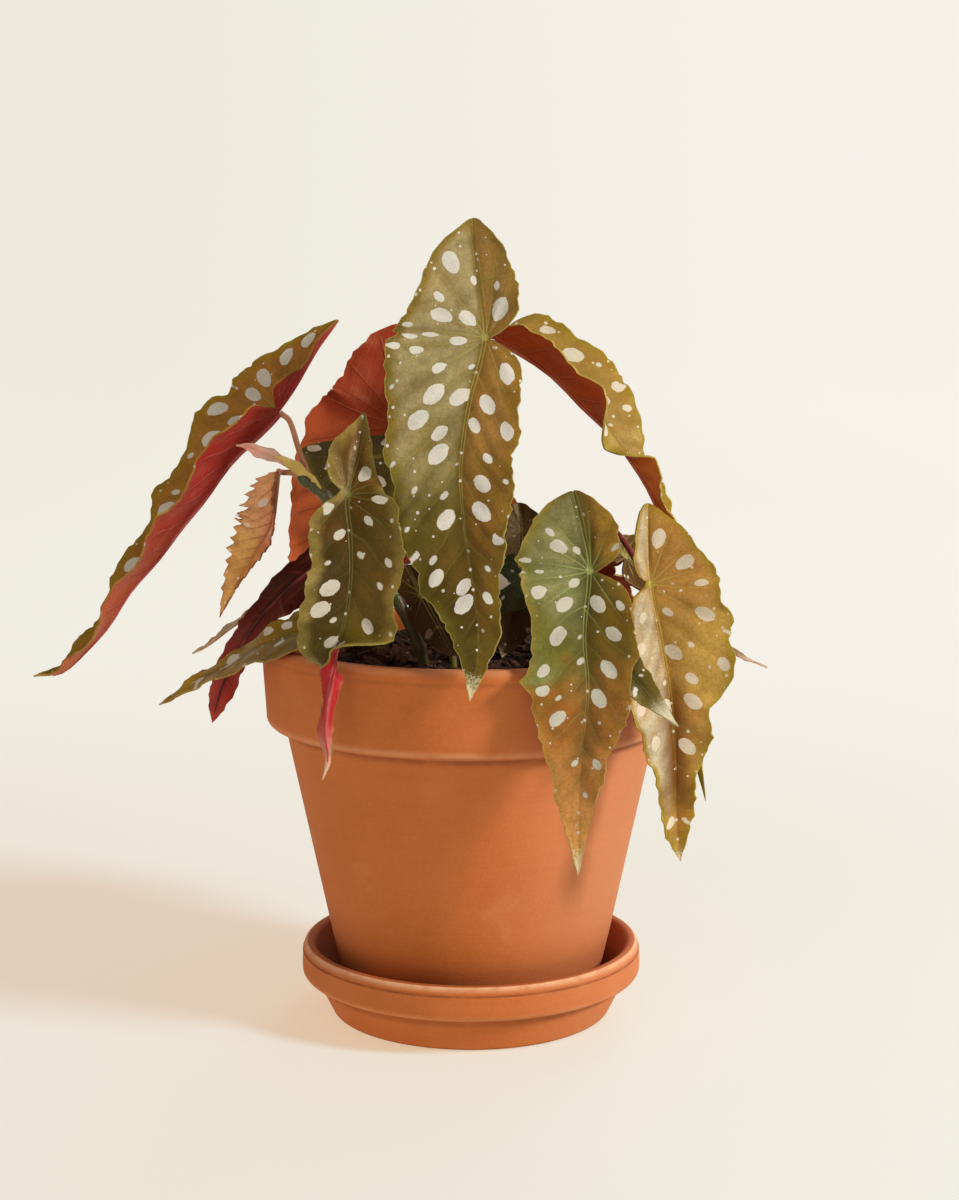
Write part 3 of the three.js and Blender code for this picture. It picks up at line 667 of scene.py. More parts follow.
def arc(centre, radius, start, end, steps):
    """Points of a rounded corner in a profile, its angles in degrees from straight out."""
    turns = [math.radians(start + (end - start) * k / steps) for k in range(steps + 1)]
    return [(centre[0] + radius * math.cos(t), centre[1] + radius * math.sin(t)) for t in turns]


# Clay

CLAY_SHINE = {"Specular IOR Level": 0.3, "Specular Tint": (1.0, 0.75, 0.5, 1.0)}


def clay_finish(name, shift, painted_lit_side, bands, damp=0.0, inside=0.0):
    """Fired clay: a warm surface with wheel lines, dust, grit and white chips, and rings of painted highlight
    and painted shadow.
    dry, damp, inside: shares of a pale painted highlight on the side the key lamp lights, of a dark foot and
    of a dark inner side.
    bands: height and reach in millimetres, share and colour."""
    finish = Finish(name, shift)
    x, y, z = finish.split(finish.place)
    cloud = finish.noise(16.0, 4.0, 0.55)
    grain = finish.noise(900.0, 3.0, 0.6)
    wheel = finish.noise(1.0, vector=finish.stretch(finish.place, 14.0, 14.0, 700.0))
    finish.base = finish.mix(cloud.between(0.35, 0.68), "c8703c", "bc642e")
    finish.tint(grain.between(0.4, 0.75) * 0.25, "cc8555")
    finish.tint(finish.noise(2600.0, 1.0).between(0.62, 0.8) * 0.35, "8a4a26")
    finish.tint(wheel.between(0.45, 0.7) * 0.08, "a4562a")
    finish.tint(finish.noise(34.0, 5.0, 0.65, shift=3.0).between(0.56, 0.78) * 0.25, "d39a70")
    # Painted highlight: the clay pales towards the side that the key lamp lights.
    finish.tint((x + cloud * 0.03 - 0.015).between(0.0, 0.06) * painted_lit_side, "dcab88")
    finish.tint((z + cloud * 0.02 - 0.01).between(0.05, 0.014) * damp, "a04e24")
    outside = 1.0
    if inside:
        outside = (finish.length(finish.join(x, y)) - z * 0.42).between(0.0494, 0.05)
        finish.tint((1.0 - outside) * inside, "8a4420")
    ragged = finish.noise(120.0, 3.0, 0.6).between(0.3, 0.6, 0.45) * outside
    # Rings round the clay at given heights: painted highlights and painted shadows at its edges and steps,
    # and one real wheel line.
    for height, reach, share, colour in bands:
        finish.tint(abs(z - height * MM).between(reach * MM, 0.0) * ragged * share, colour)
    distance, colour, _ = finish.cells(finish.stretch(finish.place, 1.0, 1.0, 0.55), 70.0, dimensions="3D")
    chip = distance.between(0.05, 0.035) * finish.split(colour)[0].between(0.86, 0.88)
    finish.tint(chip * 0.8, "e9d9c4")
    height = grain * 0.4 + wheel.between(0.3, 0.7) * 0.15 - chip * 0.6 + cloud * 1.2
    return finish.shade(grain.between(0.3, 0.7, 0.72, 0.9), height, 0.0004, 0.55, **CLAY_SHINE)


def wall_radius(z):
    share = (z - SAUCER_FLOOR) / (COLLAR_BOTTOM - SAUCER_FLOOR)
    return FOOT_RADIUS + (WALL_TOP_RADIUS - FOOT_RADIUS) * share


def make_clay():
    clay = clay_finish("clay_pot", 0.0, 0.25, damp=0.5, bands=[
        # The rim's top: a painted highlight where it catches the light; below it a real dark wheel line.
        (POT_TOP, 3.2, 0.5, "e4a474"), (POT_TOP - 5.0, 1.4, 0.3, "8a4a26"),
        # The collar's lower edge: a painted highlight, and below it the painted shadow that the collar casts
        # on the wall.
        (COLLAR_BOTTOM + 2.4, 2.0, 0.5, "e0a074"), (COLLAR_BOTTOM - 0.8, 3.0, 0.6, "74381a"),
    ])
    saucer_clay = clay_finish("clay_saucer", 5.0, 0.13, inside=0.45, bands=[
        # The saucer's lip: a painted highlight on top, and painted shade in the groove under it.
        (SAUCER_HEIGHT, 2.6, 0.8, "f4c49c"), (SAUCER_HEIGHT - 3.3, 0.6, 0.7, "64301a"),
        # Its step: a painted highlight above and a painted shadow below; at the floor, a painted contact
        # shadow.
        (14.6, 1.8, 0.3, "e0a074"), (11.4, 2.4, 0.4, "7c3e1c"), (0.0, 1.0, 0.95, "2c140a"),
    ])
    inner = wall_radius(COLLAR_BOTTOM) - WALL
    pot_profile = [
        (DRAIN_RADIUS, POT_BASE), (FOOT_RADIUS - 2.2, POT_BASE),
        *arc((FOOT_RADIUS - 2.1, POT_BASE + 2.2), 2.2, -90, -10, 5),
        *[(wall_radius(z), z) for z in (30, 55, 80, 100)],
        (WALL_TOP_RADIUS - 0.35, COLLAR_BOTTOM - 1.2),
        *arc((WALL_TOP_RADIUS + 1.1, COLLAR_BOTTOM - 1.0), 1.3, 180, 90, 4),
        *arc((RIM_RADIUS - 4.6, COLLAR_BOTTOM + 3.4), 3.0, -80, -8, 6),
        (RIM_RADIUS - 1.3, COLLAR_BOTTOM + 9), (RIM_RADIUS - 0.6, POT_TOP - 12),
        (RIM_RADIUS - 0.35, POT_TOP - 5.6),
        *arc((RIM_RADIUS - 3.0, POT_TOP - 3.2), 3.0, -20, 100, 10),
        *arc((RIM_RADIUS - 5.0, POT_TOP - 2.6), 2.4, 100, 175, 5),
        (RIM_RADIUS - 7.6, POT_TOP - 6), (inner + 3, COLLAR_BOTTOM + 6), (inner, COLLAR_BOTTOM),
        (wall_radius(POT_BASE + 9) - WALL, POT_BASE + 9),
        (wall_radius(POT_BASE + 6) - WALL - 3, POT_BASE + POT_FLOOR),
        (DRAIN_RADIUS, POT_BASE + POT_FLOOR), (DRAIN_RADIUS, POT_BASE),
    ]
    pot = spun("pot_clay", pot_profile, clay)
    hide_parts("pot")
    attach(pot, "root")

    lip = SAUCER_RADIUS
    saucer_profile = [
        (0.0, 0.0), (SAUCER_FOOT_RADIUS - 1.4, 0.0),
        *arc((SAUCER_FOOT_RADIUS - 1.3, 1.4), 1.4, -90, -15, 4),
        (lip - 5.3, 12.0), *arc((lip - 4.2, 12.6), 1.0, 190, 110, 3),
        *arc((lip - 2.6, 16.2), 2.6, -70, 0, 5),
        (lip, 19.0), (lip - 0.15, SAUCER_HEIGHT - 3.4),
        *arc((lip - 0.1, SAUCER_HEIGHT - 2.75), 0.35, 260, 140, 3),
        *arc((lip - 2.9, SAUCER_HEIGHT - 2.3), 2.3, 15, 165, 9),
        (lip - 5.4, SAUCER_HEIGHT - 3.2),
        (lip - 5.2 - 5.6, SAUCER_FLOOR + 3),
        *arc((lip - 5.2 - 8.6, SAUCER_FLOOR + 3), 3.0, -15, -85, 4),
        (0.0, SAUCER_FLOOR), (0.0, 0.0),
    ]
    saucer = spun("saucer_clay", saucer_profile, saucer_clay)
    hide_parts("saucer")
    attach(saucer, "root")


# Soil

DULL = {"Specular IOR Level": 0.3}
# Kinds of bark: dark and light colour, how many chips, and the shortest and longest in millimetres
BARK = [("3a2416", "6e4a30", 150, 4, 11), ("20150e", "45301f", 150, 4, 11), ("7a5638", "b08d66", 46, 2.5, 6)]


def soil_finish():
    finish = Finish("soil_damp")
    lump = finish.noise(260.0, 6.0, 0.7)
    finish.base = finish.mix(lump.between(0.35, 0.7), "1f150f", "4a3626")
    return finish.shade(0.9, lump, 0.002, 0.9, **DULL)


def bark_finish(name, dark, light):
    finish = Finish(name)
    fibre = finish.noise(1.0, 4.0, 0.6, finish.stretch(finish.place, 900.0, 240.0, 900.0))
    finish.base = finish.mix(fibre.between(0.35, 0.7), dark, light)
    return finish.shade(0.85, fibre, 0.0005, 0.8, **DULL)


def soil_height(x, y):
    bumps = math.sin(0.31 * x + 0.9) * math.cos(0.27 * y) + 0.6 * math.sin(0.53 * y - 0.4 * x)
    return SOIL_TOP + 0.9 * bumps


def make_soil():
    paint(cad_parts["soil"], soil_finish())
    draw = random.Random(11)
    shapes = []
    for k in range(4):
        deselect()
        bpy.ops.mesh.primitive_cube_add(size=1)
        chip = named(f"chip_{k}")
        edit()
        bpy.ops.mesh.subdivide(number_cuts=1)
        bpy.ops.transform.vertex_random(offset=0.22, uniform=0.0, normal=0.0, seed=20 + k)
        leave()
        shapes.append(chip)
    for number, (dark, light, count, shortest, longest) in enumerate(BARK):
        copies = []
        for _ in range(count):
            away = BARK_REACH * math.sqrt(draw.random())
            turn = draw.uniform(0, 2 * math.pi)
            x, y = away * math.cos(turn), away * math.sin(turn)
            long = draw.uniform(shortest, longest)
            size = (long, long * draw.uniform(0.35, 0.6), long * draw.uniform(0.15, 0.3))
            sunk = soil_height(x, y) + draw.uniform(0.0, 1.6)
            tip = Matrix.Rotation(draw.uniform(-0.5, 0.5), 4, "X")
            tip = tip @ Matrix.Rotation(draw.uniform(-0.5, 0.5), 4, "Y")
            spin = Matrix.Rotation(draw.uniform(0, math.pi), 4, "Z")
            copy = draw.choice(shapes).copy()
            copy.data = copy.data.copy()
            bpy.context.collection.objects.link(copy)
            copy.data.transform(
                Matrix.Translation(Vector((x, y, sunk)) * MM) @ spin @ tip
                @ Matrix.Diagonal((*[c * MM for c in size], 1))
            )
            copies.append(copy)
        bark = joined(f"bark_{number}", copies)
        dress(bark, bark_finish(f"bark_{number}", dark, light))
        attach(bark, "root")
    pick(*shapes)
    bpy.ops.object.delete()


# Leaves, from the same stations as the part's source: x, y, z, left and right reach, in millimetres
LEAVES = {
    "leaf_front_tall": dict(
        joint=2, notch=RIGHT, wave=1.2, waves=6, slant=(1.1, 1.6),
        fold=[[14, 14], [-4, 12], [-6, 12], [4, 12]], stations=[
            [1, -36, 288, 8, 6], [3, -39, 270, 21, 12], [5, -43, 248, 31, 13], [0, -50, 227, 30, 18],
            [-3, -57, 206, 25, 18], [-2, -64, 187, 22, 16], [1, -72, 168, 17, 10], [3, -79, 150, 9, 6.5],
            [0, -85, 131, 0, 0],
        ],
    ),
    "leaf_right_centre": dict(
        joint=2, notch=RIGHT, wave=1.2, waves=5, phase=1, slant=(1.0, 1.3), fold=[[12, 12]], stations=[
            [35, -52, 197, 12, 5], [38, -56, 185, 21, 11], [40, -62, 171, 25, 12], [38, -70, 151, 19, 18],
            [39, -76, 133, 22, 15], [37, -80, 116, 14, 11], [36, -81, 97, 8, 6], [36, -80, 71, 0, 0],
        ],
    ),
    "leaf_right_golden": dict(
        joint=2, notch=LEFT, wave=1.6, waves=6, phase=4, slant=(1.8, 0.9),
        fold=[[42, 10], [30, 10], [32, 10], [22, 10]], stations=[
            [60.5, -44, 192, 6, 6], [60.2, -47, 179.5, 6, 16], [61.2, -51, 165, 8, 23],
            [63, -53, 155, 11, 24.5], [65.3, -55, 144, 15, 24.5], [67.3, -57.5, 132, 16, 21.5],
            [68.6, -59, 121, 15.5, 13.5], [69.3, -60, 110, 12.5, 12.5], [69.8, -60, 100, 8.5, 7],
            [70, -60, 90, 6.5, 7], [70.7, -59.5, 80, 4.5, 4], [72, -58, 70, 0, 0],
        ],
    ),
    "leaf_mid_left": dict(
        joint=2, notch=LEFT, wave=1.1, waves=5,
        fold=[[14, 14]] * 6 + [[12, 16], [14, 75], [25, 30]] + [[30, 30]] * 4,
        face=[[0, -1, 0]] * 7 + [[-0.5, -0.85, 0], [-0.4, 0.9, 0]] + [[0, 1, 0]] * 4, stations=[
            [-36, -44, 223, 2, 2], [-37.5, -48, 211, 9.5, 5], [-41, -56, 196, 12, 14],
            [-40, -61, 184, 14, 18.5], [-39.5, -65, 172, 14.5, 17.5], [-40.3, -68, 162.5, 15, 16.5],
            [-42, -70.5, 154, 16.5, 18.5], [-44.5, -72.5, 144.5, 12.5, 8], [-46, -74, 135, 5, 3],
            [-47.5, -75, 126.5, 2.7, 2.5], [-48.2, -75.3, 118, 3, 3], [-47.2, -74.5, 110, 1.4, 1.4],
            [-49.5, -73, 102, 0, 0],
        ],
    ),
    "leaf_left_folded": dict(
        joint=2, notch=RIGHT, wave=1.4, waves=6, fold=[[54, 24], [54, 22]], face=[[-0.76, 0, 0.65]],
        stations=[
            [-47, -2, 253, 4, 3], [-57, -6, 238, 16, 7], [-68, -10, 221, 25, 17], [-82, -14, 207, 23, 22],
            [-95, -18, 190, 19, 19], [-106, -22, 176, 14, 16], [-119, -26, 160, 9, 12],
            [-130, -30, 143.5, 6, 8], [-142, -32, 132, 4, 4], [-153, -33, 130, 0, 0],
        ],
    ),
    "leaf_right_arching": dict(
        notch=RIGHT, wave=1.4, waves=6,
        fold=[[45, 45], [50, 50], [55, 55], [50, 60], [-25, 55], [50, 50], [40, 40]] + [[20, 20]] * 4,
        face=[[0.5, -0.1, 0.9], [0.7, -0.1, 0.7], [0.9, -0.1, 0.3], [0.7, 0.7, 0]], stations=[
            [1, 10, 246, 4, 10], [9, 6, 246, 8, 17], [24, 3, 238, 11.5, 17.5], [40, -2, 223, 12, 20.5],
            [52.5, -3.5, 210.5, 9, 12.5], [61.5, -5, 198, 8, 4.5], [68, -6, 183, 7, 7], [72, -8, 166, 6, 6],
            [77, -12, 137, 5, 5], [79.5, -14, 108, 3, 3], [85, -14, 80.5, 0, 0],
        ],
    ),
    "leaf_back_left": dict(
        joint=2, notch=LEFT, wave=1, waves=6, scallop=0.02, fold=[[10, 10]], face=[[-0.2, 1, 0.2]], stations=[
            [-15, 40, 251, 8, 14], [-20, 35, 234, 13, 24], [-27, 29, 214, 14, 28], [-38, 29, 200, 15, 28.5],
            [-49, 31, 185, 15, 20.5], [-57, 32, 169, 12, 12.5], [-62, 32, 155, 7, 7], [-64, 31, 144, 0, 0],
        ],
    ),
    "leaf_low_maroon": dict(
        notch=LEFT, wave=1.2, waves=5, fold=[[16, 16]], face=[[0.1, 1, -0.2]], stations=[
            [-44, 11, 176, 8, 6], [-50, 10, 168, 12, 8], [-61.5, 8, 159.5, 10, 8], [-73.5, 6, 148.5, 6, 7],
            [-82.5, 3, 136.5, 5, 6], [-88.5, 1, 125.5, 5, 6], [-92.5, -1, 114.5, 4, 4],
            [-94.5, -2, 107, 0, 0],
        ],
    ),
    "leaf_low_left": dict(
        notch=RIGHT, wave=0.7, waves=5, fold=[[5, 5]], face=[[-0.2, -0.45, 0.87]], stations=[
            [-46, -32, 147, 8, 7], [-54, -33, 146, 12, 12], [-63, -33, 144, 12, 12], [-74, -29, 139, 10, 10],
            [-85, -23, 132, 7, 7], [-96, -18, 126, 5, 4], [-105, -15, 120, 3, 2], [-112, -14, 116, 0, 0],
        ],
    ),
    "leaf_pale_tip": dict(
        notch=RIGHT, wave=0.8, waves=4, fold=[[8, 8]], face=[[-0.4, 0, 0.9]], stations=[
            [-40, 22, 168, 7, 6], [-48, 21, 163, 9, 7], [-62, 20, 155, 9, 7], [-77, 20, 148, 8, 6],
            [-88, 20, 140, 5, 4], [-97, 20, 133, 3, 3], [-104, 19, 129, 0, 0],
        ],
    ),
    "leaf_dark_behind": dict(
        notch=RIGHT, wave=0.8, waves=4, fold=[[6, 6]], face=[[0, -0.6, 0.8], [0, -0.8, 0.5]], stations=[
            [-45, 16, 209, 16, 19], [-43, 6, 202, 19, 22], [-41, -4, 190, 13, 14], [-42, -12, 174, 11, 9],
            [-43, -15, 161, 8, 6], [-44, -18, 150, 0, 0],
        ],
    ),
    "leaf_inner_brown": dict(
        notch=LEFT, wave=1, waves=4, fold=[[10, 10]], face=[[0.1, -1, 0.3]], stations=[
            [17, -14, 189, 7, 4], [18, -17, 179, 13, 9], [17, -21, 166, 15, 8], [15, -25, 153, 11, 9],
            [13, -28, 143, 6, 6], [11, -31, 136, 0, 0],
        ],
    ),
    "leaf_inner_teal": dict(
        notch=RIGHT, wave=0.8, waves=4, fold=[[10, 10]], face=[[-0.2, -0.8, 0.5]], stations=[
            [28, -34, 170, 7, 7], [20, -36, 166, 10, 11], [10, -38, 160, 9, 10], [0, -40, 153, 5, 6],
            [-8, -41, 147, 0, 0],
        ],
    ),
    "leaf_small_right": dict(
        notch=LEFT, wave=0.6, waves=3, fold=[[10, 10]], face=[[-0.2, -0.6, 0.8]], stations=[
            [34, -57, 153, 5, 5], [41, -62, 149, 8, 8], [50, -70, 141, 7, 7], [58, -74, 132, 5, 5],
            [69, -77, 121, 0, 0],
        ],
    ),
    "leaf_back_right": dict(
        notch=LEFT, wave=1, waves=5, fold=[[14, 14]], face=[[0.2, -0.6, 0.8]], stations=[
            [49, -24, 175, 6, 6], [54, -24, 171, 10, 11], [65, -24, 161, 11, 9], [79, -22, 148, 5, 5],
            [92, -19, 137, 1.4, 1.4], [106, -16, 130, 0, 0],
        ],
    ),
    "leaf_small_dark": dict(
        notch=LEFT, wave=0.6, waves=3, fold=[[8, 8]], face=[[-0.3, -0.8, 0.5]], stations=[
            [-22, -33, 169, 5, 4], [-17, -34, 159, 8, 6], [-12, -36, 150, 8, 6], [-8, -38, 143, 5, 4],
            [-5, -39, 137, 0, 0],
        ],
    ),
    "leaf_back_centre": dict(
        joint=2, notch=LEFT, wave=1.2, waves=5, fold=[[12, 12]], face=[[0, 1, 0.2]], stations=[
            [2, 40, 212, 7, 8], [0, 46, 200, 14, 17], [-2, 52, 186, 15, 24], [1, 62, 168, 21, 24],
            [2, 72, 148, 21, 22], [1, 80, 128, 16, 17], [0, 84, 106, 8, 9], [1, 85, 84, 0, 0],
        ],
    ),
    "leaf_back_far_right": dict(
        joint=2, notch=RIGHT, wave=1.2, waves=5, fold=[[12, 12]], face=[[0.6, 1, 0.2]], stations=[
            [26, 24, 176, 7, 6], [32, 30, 168, 15, 13], [38, 38, 158, 18, 12], [44, 50, 149, 19, 17],
            [50, 61, 138, 18, 17], [54, 68, 120, 13, 12], [56, 71, 100, 7, 6], [57, 71, 82, 0, 0],
        ],
    ),
    "leaf_back_far_left": dict(
        joint=2, notch=RIGHT, wave=1.2, waves=5, fold=[[12, 12]], face=[[-0.6, 1, 0.2]], stations=[
            [-20, 40, 182, 6, 7], [-26, 46, 172, 13, 14], [-33, 53, 160, 14, 19], [-39, 61, 149, 17, 19],
            [-44, 69, 136, 17, 17], [-47, 74, 119, 12, 12], [-49, 77, 100, 6, 7], [-50, 77, 80, 0, 0],
        ],
    ),
    "leaf_young_toothed": dict(
        joint=0, wave=0.6, waves=9, scallop=0, teeth=0.3, spacing=YOUNG_VEIN_SPACING,
        fold=[[25, 80], [25, 80], [25, 60], [20, 25], [15, 15], [15, 15]], face=[[-0.3, -1, 0.2]], stations=[
            [-67, -25, 201, 5, 4], [-68, -26, 192, 9.5, 6], [-69.5, -27, 182, 11.5, 6],
            [-74.3, -28, 174, 10, 3.5], [-81.5, -29, 163, 5, 1.4], [-88, -29, 150, 0, 0],
        ],
    ),
}


def look(upper, under, rim="b0a05a", **other):
    """A leaf's colours and shares. upper: top left, top right, low left, low right. under: by the stalk,
    by the tip, patches, veins."""
    plain = dict(
        vein="a8a058", shade="4c3c12", mottle="7f6a2a", spot="d7d2c6", tip="cdbf94", ghost="a8604c",
        # The painted reflection of the lamps between the veins: its colour, its shares on the left and right
        # halves and where it fades out, and its reach from the edge.
        sheen="a8966c", haze=(0.2, 0.1, 0.7), haze_edge=(1.5, 7.0), crown="86703a 86703a", crown_share=0.0,
        turn=(0.3, 0.68), fade=(0.35, 0.95), size=1.0, frost=0.06, gloss=0.4, through=0.15,
        stain="6c4a1c", stain_share=0.3, margin="7c6a1c", margin_share=0.35, end="b8906c", end_share=0.0,
        blush=("c8884a", 2.0, 3.0), groove=(2.8, 0.4, 0.4), vein_reach=24.0,
    )
    found = {**plain, **other, "upper": upper, "under": under, "rim": rim}
    return {**found, **{key: found[key].split() for key in ("upper", "under", "crown")}}


RED = "a03a20 a8481f 842814 b8603a"
MAROON = "5a1610 7e2a1e 3a0d08 84402c"
LOOKS = {
    "leaf_front_tall": look(
        "7c6c28 9e6e2c 46330a 634810", RED, mottle="6e6a20", haze=(0.85, 0.12, 0.62), sheen="aa9a6c",
        haze_edge=(0.5, 6.0), turn=(0.42, 0.78), crown="987a3c a07c40", crown_share=0.6, stain="8c5c26",
        margin="74681a", shade="44340c", groove=(5.0, 0.25, 0.6), size=1.05,
    ),
    "leaf_right_centre": look(
        "6c7236 64480f 9c5e26 a0622a", RED, rim="b0904c", vein="98a45c", mottle="66601c", shade="34340e",
        blush=("d09050", 0.62, 1.05), haze=(0.32, 0.03, 0.5), sheen="989c78", turn=(0.5, 0.6),
        crown="80763a a87c2e", groove=(7.0, 0.75, 0.3), size=0.88, crown_share=0.8, spot="beb9a8",
        stain="7a5a1c", stain_share=0.25, margin="a07c2c",
    ),
    "leaf_right_golden": look(
        "ae9054 c89e46 ac8644 a4702c", RED, rim="b09c40", vein="b8a850", mottle="a8742e", shade="6c3c0c",
        groove=(8.0, 0.3, 1.0), blush=("e4b458", 0.86, 1.08), size=0.9, frost=0.05, haze=(0.96, 0.05, 0.9),
        haze_edge=(0.6, 1.8), sheen="cabf9e", gloss=0.34, turn=(0.5, 0.85), crown="ccb07c bc8c3a",
        crown_share=0.85, spot="dcccb0", stain="b0642e", stain_share=0.35, margin="98820e", margin_share=0.6,
    ),
    "leaf_mid_left": look(
        "3e2a0c 58400f 50400f 705816", "a81c24 d09078 8e141c c06464", rim="8c7c34", vein="76703c",
        mottle="4a4c10", shade="2c2408", haze=(0.45, 0.15, 0.95), haze_edge=(6.0, 2.5), sheen="a08846",
        frost=0.02, fade=(0.74, 0.92), crown="7c4a1c 8a4e1c", crown_share=0.65, spot="c4bcaa", stain="5c380e",
        stain_share=0.5, margin="8e7c38", margin_share=0.6, end="e0b498", end_share=0.9,
    ),
    "leaf_left_folded": look(
        "b2762a ac742a b2782a be7a36", "9c2c26 b0643c 82181c bc5c54", rim="986c34", mottle="94701a",
        shade="5c3c10", spot="d8d0c0", frost=0.03, haze=(0.05, 0.05, 0.8), margin="887c12", margin_share=0.6,
        size=1.1, stain="8a5020", end="d8a070", end_share=0.6,
    ),
    "leaf_right_arching": look(
        "a2843e a08038 8e6e26 86661e", "b04418 dc7a34 8e3010 c87048", rim="b8a44c", mottle="a8802c",
        shade="7a5a18", frost=0.03, spot="dcd2ba", haze=(0.3, 0.1, 0.6), sheen="c8b478", fade=(0.28, 0.55),
        stain="a06a1c", stain_share=0.6, margin="94820f", margin_share=0.55, size=1.1, end="6c6a20",
        end_share=1.0,
    ),
    # The underside's bright orange towards the tip is painted light: it stands in for light shining through
    # the thin blade.
    "leaf_back_left": look(
        "7d7038 8a7238 6f6a30 7d6030", "8c2e18 ee7c48 74240e a84a2c", rim="b0562a", through=0.08,
        ghost="b05a30", fade=(0.3, 0.6),
    ),
    # Its deep maroon is its own colour; the near-black by the stalk and the dim spots are painted shade near
    # the pot.
    "leaf_low_maroon": look(
        "3c2414 442a16 3c2414 44261a", "300604 cc4c44 340604 803028", rim="7a4224", spot="907868",
        through=0.04, ghost="74402f", gloss=0.34, fade=(0.35, 1.0),
    ),
    "leaf_low_left": look(
        "7c6008 785808 dca41c d89c28", "90302c a44640 7a2420 b0605a", rim="98743c", vein="8f845c",
        mottle="56580f", shade="322a08", spot="d8d0bc", size=1.3, haze=(0.05, 0.05, 0.8), turn=(0.15, 0.85),
        margin="76701c",
    ),
    "leaf_pale_tip": look(
        "a8784c b07e50 d8b080 e0bc8c", "a05a40 e0b888 94503a c09868", rim="c09868", shade="96704a",
        vein="c0a07c", spot="c9b298", frost=0.1, tip="e8d0a8", haze=(0.0, 0.0, 0.8), stain_share=0.0,
        margin_share=0.1, fade=(0.2, 0.7),
    ),
    # Leaves deep inside the plant: painted much darker than the outer leaves, most of their spots dimmer too,
    # as painted shade.
    "leaf_dark_behind": look(
        "3a3210 3e3210 302c0e 30280a", MAROON, rim="6a5a30", vein="5c5030", mottle="3c3a12", shade="1e1806",
        spot="a89c88", haze=(0.05, 0.05, 0.8), sheen="5c5434", stain="40280c",
    ),
    "leaf_inner_brown": look(
        "4a3014 422a10 38240e 34200c", MAROON, rim="5e4022", vein="54401f", mottle="3c2810", shade="1e1408",
        spot="8c7a66", haze=(0.0, 0.0, 0.8), margin="40300c",
    ),
    "leaf_inner_teal": look(
        "24301c 2a3018 202a16 282812", MAROON, rim="504a2c", vein="44523c", mottle="2c3420", shade="10180c",
        spot="b4ac9c", size=1.5, haze=(0.0, 0.0, 0.8), margin="303010", stain="22200c",
    ),
    "leaf_small_right": look(
        "54480e 564810 4c420e 58481a", RED, rim="8a7440", vein="8a7c4a", mottle="444812", shade="242406",
        frost=0.2, size=0.7, tip="c8c0a2", haze=(0.1, 0.05, 0.8), sheen="84805a",
    ),
    "leaf_back_right": look(
        "4a2c14 50321a 7c4430 b0806a", "903428 b87058 7c281e b8806a", rim="b08068", mottle="5a3a1c",
        frost=0.2, tip="d0b096", size=0.7, haze=(0.0, 0.0, 0.8), turn=(0.5, 0.9),
    ),
    # Painted shade too: darker colours and dimmer spots for a leaf deep inside the plant.
    "leaf_small_dark": look(
        "4a3014 442a12 3a240e 36200c", MAROON, rim="624224", mottle="3c280e", shade="1e1408", spot="8a7664",
        size=0.8, haze=(0.0, 0.0, 0.8), margin="40300c",
    ),
    "leaf_back_centre": look("84743a 88682e 78662a 865c22", RED),
    "leaf_back_far_right": look(
        "68683a 70622c 70602a 7c5622", "a03a20 6a6018 842814 b8603a", mottle="606632", fade=(0.5, 0.85),
    ),
    "leaf_back_far_left": look("907434 947034 8a682c 905f22", RED, mottle="9c783a"),
    "leaf_young_toothed": look(
        "f8bc84 f8a08c eeb868 e8a858", "d4805a e0a060 c46c40 eac090", rim="6c3c1c", vein="9a5a30",
        mottle="f4bc90", shade="a4602c", spot="f0dcc8", tip="8a4a2c", size=0.6, frost=0.03,
        haze=(0.0, 0.0, 0.9), vein_reach=150.0, stain="f0988c", stain_share=0.6, margin="b86c2c",
    ),
}


def make_leaf(name, form, number):
    blade = Blade(**form)
    own = LOOKS[name]
    shift = number * LOOK_SHIFT
    upper = upper_finish(f"{name}_upper", own, shift)
    under = under_finish(f"{name}_under", own, shift)
    piece = blade_mesh(f"{name}_blade", blade, [upper, under], FINE_ROW if blade.teeth else ROW)
    ridge = np.linspace(blade.joint_at, RIB_END, RIB_STEPS)
    up = blade.frame(ridge)[1]
    radii = np.linspace(*RIB_RADII, RIB_STEPS) * min(1.0, SLIM_RIB + blade.length / FULL_RIB)
    middle = blade.rib(ridge) + up * (blade.relief(ridge, ridge * 0) - 0.3 - 0.75 * radii)[:, None]
    by_stalk, _, _, vein = own["under"]
    rib = stalk(f"{name}_rib", middle, radii, stem_finish(f"{name}_rib", vein, by_stalk, vein))
    piece = joined(f"{name}_blade", [piece, rib])
    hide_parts(name)
    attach(piece, "root")
    return blade


def stem_finish(name, main, shade, fleck):
    """A juicy stem: a soft change of colour along it, fine lengthwise streaks and pale flecks."""
    finish = Finish(name)
    streak = finish.noise(1.0, vector=finish.stretch(finish.place, 1500.0, 1500.0, 160.0))
    finish.base = finish.mix(finish.noise(70.0).between(0.38, 0.62), main, shade)
    finish.tint(streak.between(0.5, 0.75) * 0.3, fleck)
    distance, colour, _ = finish.cells(finish.stretch(finish.place, 1.0, 1.0, 0.6), 420.0, dimensions="3D")
    dot = distance.between(0.22, 0.14) * finish.split(colour)[0].between(0.6, 0.62)
    finish.tint(dot * 0.6, fleck)
    return finish.shade(streak.between(0.3, 0.7, 0.36, 0.5), streak + dot * 0.6, 0.0002, 0.5)


